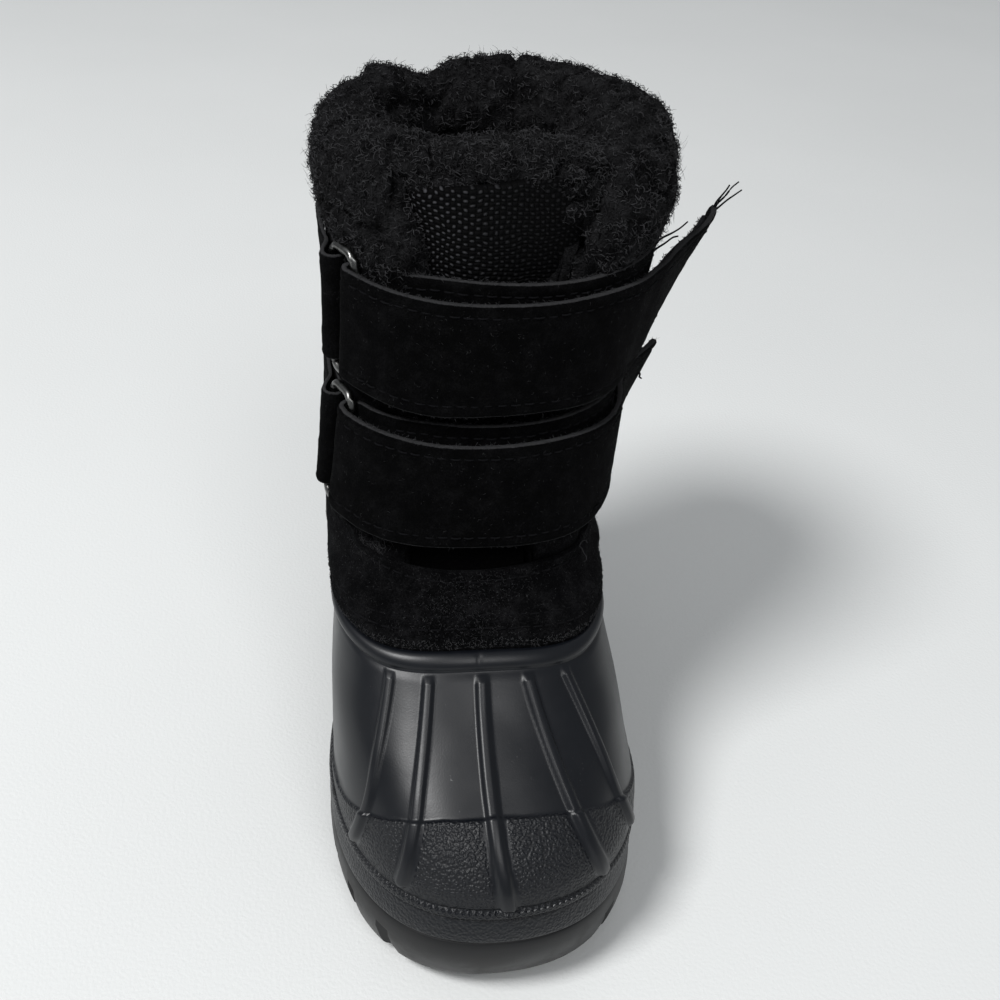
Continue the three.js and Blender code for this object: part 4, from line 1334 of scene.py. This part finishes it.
def tongue_point(share, height, back):
    level = np.minimum(height, RIM)
    half, centre = throat_at(np.maximum(level, THROAT_ROWS[0, 0]))
    x = centre + share * (half - 0.8)
    y = form_point(azimuth_at(x, level), level)[..., 1] + TONGUE_RECESS
    return np.stack(np.broadcast_arrays(x, y + back, height), -1)


def make_tongue():
    share = np.linspace(-1, 1, 64)[None]
    top = 187.5 - 5.5 * np.abs(share) ** 5 + 1.2 * np.sin(2.5 * share)
    rise = np.linspace(0, 1, 100)[:, None]
    height = lerp(TONGUE_FOOT, top, rise)
    sag = 0.8 * bell(height, 103, 5) * np.sin((height - 90) * 0.9 + share * 2.0)
    sag = sag + 5.5 * ease(104, 88, height) + 3.2 * ease(-0.3, 1.0, share) * ease(135, 165, height)
    sag = sag - 1.5 * bell(share, -0.6, 0.4) * bell(height, 172, 14)
    sag = sag + 0.6 * np.sin((height - 120) * 0.35 + 3 * share) * bell(height, 133, 7)
    sag = sag + 1.6 * share ** 4 * ease(150, 185, height) - 1.2 * bell(height, 176, 9) * (1 - share * share)
    front = tongue_point(share, height, sag)
    back = tongue_point(share, height, sag + TONGUE_CLOTH)
    slab("tongue_cloth", front, back, WEAVE, "tongue_weave", grid_uv(front), replaces=("tongue",))
    profile = smooth_loop(TONGUE_PROFILE, 90)
    back, height = profile[:, :1], profile[:, 1:]
    share = np.linspace(-1, 1, 90)[None]
    shrink = np.sqrt(np.clip(1 - np.abs(share) ** 9, 0.01, 1))
    high = ease(170, 190, height)
    back = 6.0 + (back - 6.0) * lerp(1.0, shrink, high)
    height = height + high * ((shrink - 1) * 7.0 + 1.4 * np.sin(4.2 * share + 0.6) - 1.2 * share)
    wide = share * lerp(0.97, 1.06, high)
    points, normals = fluffed(tongue_point(wide, height, back), 0.9, 0.5, 50)
    rolled_fleece("tongue_fleece", points)
    place, normal = scatter(points[14:72], normals[14:72], TONGUE_CURLS, wanted=lambda at: at[..., 2] > 178)
    curls("tongue_pile", place, normal, "fleece", (0.3, 0.75))
    place, normal = scatter(points[20:66], normals[20:66], TONGUE_HAIRS, wanted=lambda at: at[..., 2] > 182)
    hairs("tongue_fuzz", place, normal, "fleece", (1.0, 2.6), (0.05, 0.085), 1.1, PILE)


# ---- Straps, ring tabs and rings
EDGE_HAIRS = 1300
HOOKS = 700
STITCH_SET_IN = 0.18
STITCH_FROM_EDGE = 2.9
FOLD_AZIMUTH = -46.0
TAB_FOLD_AZIMUTH = -58.0
TAB_END_AZIMUTH = -98.0
LOW_EDGE_FLARE = 0.6
STRAP_ROWS = {
    "upper": {"low": 136.0, "high": 164.0, "ring_low": 134.6, "ring_high": 166.6, "leave": 50.0, "end": 99.0,
              "flare": 19.0, "anchor": 106.0, "seed": 61, "cut": 0.29},
    "lower": {"low": 101.0, "high": 128.0, "ring_low": 99.2, "ring_high": 130.2, "leave": 62.0, "end": 92.0,
              "flare": 12.0, "anchor": 99.0, "seed": 81, "cut": 0.267},
}


def layer_offset(row, degrees, returning, share):
    """How far out from the shaft the middle of a strap layer lies at an azimuth."""
    first = CLOSE + STRAP_THICK / 2
    if not returning:
        done = (row["anchor"] - degrees) / (row["anchor"] - FOLD_AZIMUTH)
        return lerp(first, BAR - FOLD_RADIUS, ease(0.6, 1, done))
    settled = ease(FOLD_AZIMUTH, row["leave"], degrees)
    out = lerp(BAR + FOLD_RADIUS, first + STRAP_THICK + CLOSE, settled)
    away = np.clip((degrees - row["leave"]) / (row["end"] - row["leave"]), 0, 1)
    return out + row["flare"] * away ** 1.4 * lerp(LOW_EDGE_FLARE, 1, share)


def layer_height(row, degrees, returning, share):
    """Height on a strap layer; the outer layer runs a little lower over the front than the inner one."""
    near = ease(FOLD_AZIMUTH, -12, degrees)
    drift = -1.2 * near if returning else 2.4 * near
    drift = drift + 0.45 * np.sin(np.asarray(degrees) / 13.0 + row["seed"] + 2.0 * returning)
    return lerp(row["low"], row["high"], share) + drift


def layer_point(row, degrees, returning, share, out=0.0):
    height = layer_height(row, degrees, returning, share)
    azimuth = np.radians(degrees)
    wave = 0.4 * np.sin(np.asarray(degrees) / 8.0 + 3.0 * share + row["seed"]) * ease(-40, -20, degrees)
    offset = layer_offset(row, degrees, returning, share) + (wave if returning else 0.0) + out
    azimuth, height, offset = np.broadcast_arrays(azimuth, height, offset)
    return form_point(azimuth, height) + flat_normal(azimuth, height) * offset[..., None]


def edge_samples(tall):
    near = np.array([0, 0.18, 0.4, 0.8, 1.5, 2.2, 2.6, 2.9, 3.2, 3.6, 4.3, 5.3])
    return np.concatenate([near, np.linspace(6.5, tall - 6.5, 10), tall - near[::-1]]) / tall


def folded_route(row):
    """Rows of points along the middle of a strap: inner layer, fold round the bar, outer layer."""
    tall = row["high"] - row["low"]
    share = edge_samples(tall)[None]
    inner = layer_point(row, np.linspace(row["anchor"], FOLD_AZIMUTH, 80)[:-1, None], False, share)
    angle = np.linspace(0, math.pi, 14)[:, None]
    height = lerp(row["low"], row["high"], share) + 0 * angle
    fold = np.full(height.shape, math.radians(FOLD_AZIMUTH))
    normal = flat_normal(fold, height)
    along = np.stack([-normal[..., 1], normal[..., 0], 0 * height], -1)
    bar = form_point(fold, height) + normal * (BAR - FOLD_RADIUS * np.cos(angle))[..., None]
    bar = bar - along * (FOLD_RADIUS * np.sin(angle))[..., None]
    outer = layer_point(row, np.linspace(FOLD_AZIMUTH, row["end"], 110)[1:, None], True, share)
    return np.concatenate([inner, bar, outer])


def thick_band(name, middle, thick, material, slot, **more):
    """Closed band of even thickness about a grid whose columns run across it."""
    rows, columns = middle.shape[:2]
    along = np.gradient(middle, axis=0)
    along[..., 2] = 0
    along = unit(along)
    across = np.stack([-along[..., 1], along[..., 0], 0 * along[..., 0]], -1)
    tall = np.linalg.norm(middle[0, -1] - middle[0, 0])
    span = np.cumsum(np.linalg.norm(np.diff(middle[0], axis=0, prepend=middle[0][:1]), axis=-1))
    from_edge = np.minimum(span, tall - span)
    eased = thick / 2 * lerp(0.55, 1.0, ease(0.0, 0.9, from_edge))
    eased = eased - 0.22 * bell(from_edge, 2.9, 0.45)
    left = middle + across * eased[:, None]
    right = middle - across * eased[:, None]
    rings = np.concatenate([left, right[:, ::-1]], axis=1)
    ends = np.minimum(np.arange(rows), rows - 1 - np.arange(rows))[:, None]
    edge = np.maximum(ease(0.5, 0.05, from_edge)[None], ease(2.0, 0.0, ends))
    edge = np.concatenate([edge, edge[:, ::-1]], axis=1)
    grain = 0.1 * rough(rings, 2.2, 2, 91) + 0.08 * rough(rings, 7.0, 2, 93)
    rings = rings + np.concatenate([across, -across], axis=1) * grain[..., None]
    count = rings.shape[1]
    first = np.arange(columns - 1)
    cap = np.stack([first, first + 1, count - 2 - first, count - 1 - first], -1)
    faces = np.concatenate([quad_faces(rows, count, True), cap[:, ::-1], cap + (rows - 1) * count])
    run = np.cumsum(np.linalg.norm(np.diff(middle[:, 0], axis=0, prepend=middle[:1, 0]), axis=-1))
    uv = np.stack(np.broadcast_arrays(run[:, None], np.concatenate([span, span[::-1]])[None]), -1)
    return make_piece(name, rings, faces, material, slot, uv, {"edge": edge}, **more)


def strap_surface(row, degrees, share, returning=True):
    """Points and outward directions on the face of a strap layer."""
    out = STRAP_THICK / 2 + 0.02
    points = layer_point(row, degrees, returning, share, out)
    height = layer_height(row, degrees, returning, share)
    azimuth, height = np.broadcast_arrays(np.radians(degrees), height)
    return points, flat_normal(azimuth, height)


def strap_stitches(row):
    tall = row["high"] - row["low"]
    degrees = np.linspace(-44, row["end"] - 2.5, 420)
    rows = []
    for share in (STITCH_FROM_EDGE / tall, 1 - STITCH_FROM_EDGE / tall):
        points, normals = strap_surface(row, degrees, share)
        rows.append(stitch_row(points - normals * STITCH_SET_IN, normals, 2.4, 1.0, 0.21, rng.random()))
        inner, normals = strap_surface(row, np.linspace(-30, 100, 300), share, False)
        rows.append(stitch_row(inner - normals * STITCH_SET_IN, normals, 2.4, 1.0, 0.25, rng.random()))
    share = np.linspace(0.1, 0.9, 60)
    points, normals = strap_surface(row, np.full(60, row["end"] - 3.0), share)
    rows.append(stitch_row(points - normals * STITCH_SET_IN, normals, 2.4, 1.0, 0.25))
    return rows


def edge_fuzz(row, count):
    """Places along the cut edges of a strap, and directions off them."""
    returning = rng.random(count) < 0.6
    top = rng.random(count) < 0.75
    share = np.where(top, 1.0, 0.0)
    depth = rng.uniform(-0.9, 0.9, count)
    outer = layer_point(row, rng.uniform(-42, row["end"], count), True, share, depth)
    inner = layer_point(row, rng.uniform(-30, 80, count), False, share, depth)
    places = np.where(returning[:, None], outer, inner)
    normals = np.zeros_like(places)
    normals[:, 2] = np.where(top, 1.0, -1.0)
    return places, unit(normals + rng.normal(0, 0.3, places.shape))


def hook_tape(name, row):
    """Hook tape sewn to the inner face of a strap's free end."""
    degrees = np.linspace(row["leave"] - 8, row["end"] - 1.5, 40)[:, None]
    share = np.linspace(0.09, 0.93, 30)[None]
    face = layer_point(row, degrees, True, share, -STRAP_THICK / 2 - 0.15)
    back = layer_point(row, degrees, True, share, -STRAP_THICK / 2 - 1.25)
    slab(name, face, back, TAPE, "strap_suede")
    normals = grid_normals(back)
    if np.sum((back - face) * normals) < 0:
        normals = -normals
    place, normal = scatter(back, normals, HOOKS)
    hairs(name + "_hooks", place, normal, "strap_suede", (0.45, 0.9), (0.1, 0.14), 2.0, TAPE)


def make_straps():
    stitches = []
    fuzz = []
    for place, row in STRAP_ROWS.items():
        hide = thick_band("strap_" + place + "_hide", folded_route(row), STRAP_THICK, STRAP_SUEDE, "strap_suede",
                          replaces=("strap_" + place,))
        stitches += strap_stitches(row)
        fuzz.append(edge_fuzz(row, EDGE_HAIRS))
        hook_tape("hook_tape_" + place, row)
        make_ring(place, row)
        make_ring_tab(place, row)
    paths, radii = joined(stitches)
    tubes("strap_stitches", paths, radii, 6, THREAD, "strap_suede")
    places, normals = joined(fuzz)
    hairs("strap_edge_fuzz", places, normals, "strap_suede", (0.35, 1.1), (0.03, 0.055), 0.8, LINT)


def bar_point(degrees, height):
    azimuth, height = np.broadcast_arrays(np.radians(degrees), height)
    return form_point(azimuth, height) + flat_normal(azimuth, height) * BAR


def make_ring(place, row):
    corner = 3.2
    low, high = row["ring_low"], row["ring_high"]
    width = np.linalg.norm(bar_point(FOLD_AZIMUTH, low) - bar_point(TAB_FOLD_AZIMUTH, low))
    tall = high - low
    across, up = [], []
    for right, top, start in ((1, 1, 0), (0, 1, 1), (0, 0, 2), (1, 0, 3)):
        angle = math.pi / 2 * (start + np.linspace(0, 1, 9))
        across.append((width - corner if right else corner) + corner * np.cos(angle))
        up.append((tall - corner if top else corner) + corner * np.sin(angle))
    share = np.concatenate(across) / width
    height = low + np.concatenate(up)
    path = lerp(bar_point(TAB_FOLD_AZIMUTH, height), bar_point(FOLD_AZIMUTH, height), share[:, None])
    path = evened(path, 90)
    radii = np.full((1, len(path)), WIRE_RADIUS)
    tubes("wire_ring_" + place, path[None], radii, 14, WIRE, "ring_steel", closed=True, replaces=("ring_" + place,))


def evened(path, count):
    """Closed path with evenly spaced points."""
    loop = np.concatenate([path, path[:1]])
    run = np.concatenate([[0], np.cumsum(np.linalg.norm(np.diff(loop, axis=0), axis=-1))])
    where = np.linspace(0, run[-1], count, endpoint=False)
    return np.stack([np.interp(where, run, loop[:, i]) for i in range(3)], -1)


def make_ring_tab(place, row):
    share = np.linspace(0, 1, 26)[None]

    def heights(degrees):
        spread = 4.0 * ease(TAB_FOLD_AZIMUTH - 6, TAB_END_AZIMUTH, degrees)
        return lerp(row["ring_low"] + 2.6 - spread, row["ring_high"] - 2.4 + 0.4 * spread, share)

    def layer(degrees, out):
        height = heights(degrees)
        azimuth, height, out = np.broadcast_arrays(np.radians(degrees), height, out)
        return form_point(azimuth, height) + flat_normal(azimuth, height) * out[..., None]

    first = CLOSE + TAB_THICK / 2
    degrees = np.linspace(TAB_END_AZIMUTH, TAB_FOLD_AZIMUTH, 30)[:-1, None]
    rising = ease(TAB_END_AZIMUTH + 21, TAB_FOLD_AZIMUTH, degrees)
    inner = layer(degrees, lerp(first, BAR - FOLD_RADIUS, rising))
    angle = np.linspace(0, math.pi, 12)[:, None]
    fold = np.full((12, 1), TAB_FOLD_AZIMUTH)
    bar = layer(fold, BAR - FOLD_RADIUS * np.cos(angle))
    normal = flat_normal(np.radians(fold + 0 * share), heights(fold))
    along = np.stack([-normal[..., 1], normal[..., 0], 0 * normal[..., 0]], -1)
    bar = bar + along * (FOLD_RADIUS * np.sin(angle))[..., None]
    degrees = np.linspace(TAB_FOLD_AZIMUTH, TAB_END_AZIMUTH + 4, 34)[1:, None]
    settled = ease(TAB_FOLD_AZIMUTH, TAB_FOLD_AZIMUTH - 10, degrees)
    outer = layer(degrees, lerp(BAR + FOLD_RADIUS, first + TAB_THICK + CLOSE, settled))
    thick_band("ring_tab_" + place + "_hide", np.concatenate([inner, bar, outer]), TAB_THICK, STRAP_SUEDE,
               "strap_suede", replaces=("ring_tab_" + place,))


# ---- Insole, lint and loose threads
VAMP_LINT = 1100
VAMP_FOOT_HAIRS = 900
VAMP_NAP_HAIRS = 1300
STRAP_LINT = 230
FRAYED_FIBRES = 260
THREAD_RADIUS = 0.38


def make_insole():
    azimuth = 2 * math.pi * (np.arange(150) + 0.5)[None] / 150
    share = np.concatenate([np.linspace(0.02, 0.9, 22), [0.95, 0.98, 1.0]])[:, None]
    edge = LINING_OUTSIDE - 5.0 - 0.8
    rim = offset_point(azimuth, SOLE_FLOOR + 4.0, edge)
    middle = np.array([-1.0, 0.0, 0.0]) + rim * [0, 1, 0]
    middle[..., 2] = rim[..., 2]
    top = lerp(middle, rim, share[..., None])
    top[..., 2] += 0.35 * rough(top, 6.0, 3, 95) - 1.2 * ease(0.94, 1.0, share)
    bottom = top.copy()
    low = offset_point(azimuth, SOLE_FLOOR + 0.4, edge)
    bottom[..., 2] = low[..., 2]
    slab("insole_cover", top, bottom, FLEECE, "fleece", around=True, replaces=("insole",))


def make_lint():
    azimuth = np.radians(np.linspace(-62, 62, 90))[None]
    share = np.linspace(0, 1, 24)[:, None]
    height = lerp(band_height(azimuth) + BAND_HEIGHT + 1.0, vamp_edge(azimuth) - 0.5, share)
    azimuth = np.broadcast_to(azimuth, height.shape)
    points = offset_point(azimuth, height, vamp_out(azimuth, height))

    def centred(at):
        return 0.1 + bell(at[..., 0], -9.0, 16.0) * ease(-0.25, 0.35, noise(at, 12.0, 33))

    place, normal = scatter(points, form_normal(azimuth, height), VAMP_LINT, wanted=centred)
    hairs("vamp_lint", place, normal, "suede", (0.25, 0.8), (0.025, 0.04), 0.35, LINT)
    low = band_height(azimuth[:1]) + BAND_HEIGHT + lerp(-0.3, 0.9, np.linspace(0, 1, 3)[:, None])
    around = np.broadcast_to(azimuth[:1], low.shape)
    foot = offset_point(around, low, vamp_out(around, low))
    place, normal = scatter(foot, form_normal(around, low), VAMP_FOOT_HAIRS)
    hairs("vamp_foot_fuzz", place, normal, "suede", (0.3, 0.9), (0.04, 0.06), 0.5, LINT)
    place, normal = scatter(points, form_normal(azimuth, height), VAMP_NAP_HAIRS)
    hairs("vamp_nap", place, normal, "suede", (0.3, 0.7), (0.04, 0.07), 0.6, PILE, 0.25)
    share = np.linspace(0.02, 0.98, 24)[None]
    found = []
    for row in STRAP_ROWS.values():
        points, facing = strap_surface(row, np.linspace(-44, row["end"], 90)[:, None], share)
        found.append(scatter(points, facing, STRAP_LINT))
    place, normal = joined(found)
    hairs("strap_lint", place, normal, "strap_suede", (0.25, 1.0), (0.02, 0.034), 0.35, LINT)


def make_frayed_corner():
    """Fibres pulled out of the hide at the medial corner of the throat."""
    azimuth = np.radians(np.linspace(-40, -25, 20))[None]
    height = np.linspace(88.0, 96.0, 12)[:, None]
    azimuth, height = np.broadcast_arrays(azimuth, height)
    points = offset_point(azimuth, height, creased(azimuth, height) + 0.4)
    place, normal = scatter(points, form_normal(azimuth, height), FRAYED_FIBRES)
    hairs("frayed_corner", place, normal, "suede", (0.8, 2.6), (0.02, 0.04), 0.6, LINT)


def thread_path(start, steps):
    """Smooth path from a start point through relative steps."""
    knots = np.concatenate([[np.zeros(3)], np.cumsum(np.array(steps, float), 0)]) + start
    where = np.linspace(0, len(knots) - 1, 24)
    path = np.stack([np.interp(where, np.arange(len(knots)), knots[:, i]) for i in range(3)], -1)
    for _ in range(3):
        path[1:-1] = (path[:-2] + 2 * path[1:-1] + path[2:]) / 4
    return path


def make_loose_threads():
    """Short ends of thread that have worked loose: at the straps' free ends and on the vamp."""
    upper, lower = STRAP_ROWS["upper"], STRAP_ROWS["lower"]
    tip = layer_point(upper, upper["end"] - 1.0, True, 0.97)
    side = layer_point(upper, 62.0, True, 1.0, -6.0)
    low_tip = layer_point(lower, lower["end"] - 1.0, True, 0.6)
    stray = offset_point(math.radians(33), 90.0, VAMP_PROUD + 0.6)
    routes = (
        (tip, (1.2, 0.3, 2.0), (1.8, -0.2, 2.2), (1.6, 0.6, 2.4), (1.9, 0.2, 1.6)),
        (tip, (0.8, 0.5, 2.2), (1.4, 0.2, 2.0), (1.0, -0.4, 2.0), (0.6, 0.2, 1.2)),
        (tip + [0.3, 0.4, -0.6], (1.6, 0.1, 1.4), (2.0, 0.4, 1.8), (1.8, 0.1, 1.4), (2.2, 0.0, 1.8)),
        (side, (1.6, 0.2, 2.6), (1.8, 0.4, 1.8), (2.4, -0.3, 1.4), (2.2, 0.5, 1.2), (1.8, 0.2, 1.8)),
        (side + [0.4, 0, -0.5], (1.8, 0.2, 2.0), (2.2, 0.2, 1.4), (2.0, 0.4, 1.6), (1.4, -0.2, 0.4)),
        (low_tip, (0.9, 0.2, 0.8), (0.8, -0.3, -0.9), (-0.2, 0.2, -1.0), (0.9, 0.1, -0.6)),
        (stray, (0.6, -0.5, -1.4), (1.1, -0.4, -1.2), (-0.5, -0.3, -1.5), (-1.3, 0.1, 0.4), (0.1, 0.3, 1.6)),
        (stray, (-0.8, -0.3, 0.8), (0.4, 0.2, 1.4), (1.2, 0.1, 0.6), (0.6, 0.0, -1.2)),
    )
    paths = np.stack([thread_path(start, steps) for start, *steps in routes])
    radii = np.full(paths.shape[:2], THREAD_RADIUS) * np.linspace(1.0, 0.6, paths.shape[1])
    tubes("loose_threads", paths[:6], radii[:6], 4, THREAD, "strap_suede")
    tubes("stray_lint", paths[6:], radii[6:] * 0.3, 4, LINT, "suede")


make_upper()
make_vamp()
make_vamp_stitches()
make_cuff()
make_tongue()
make_straps()
make_insole()
make_lint()
make_frayed_corner()
make_loose_threads()
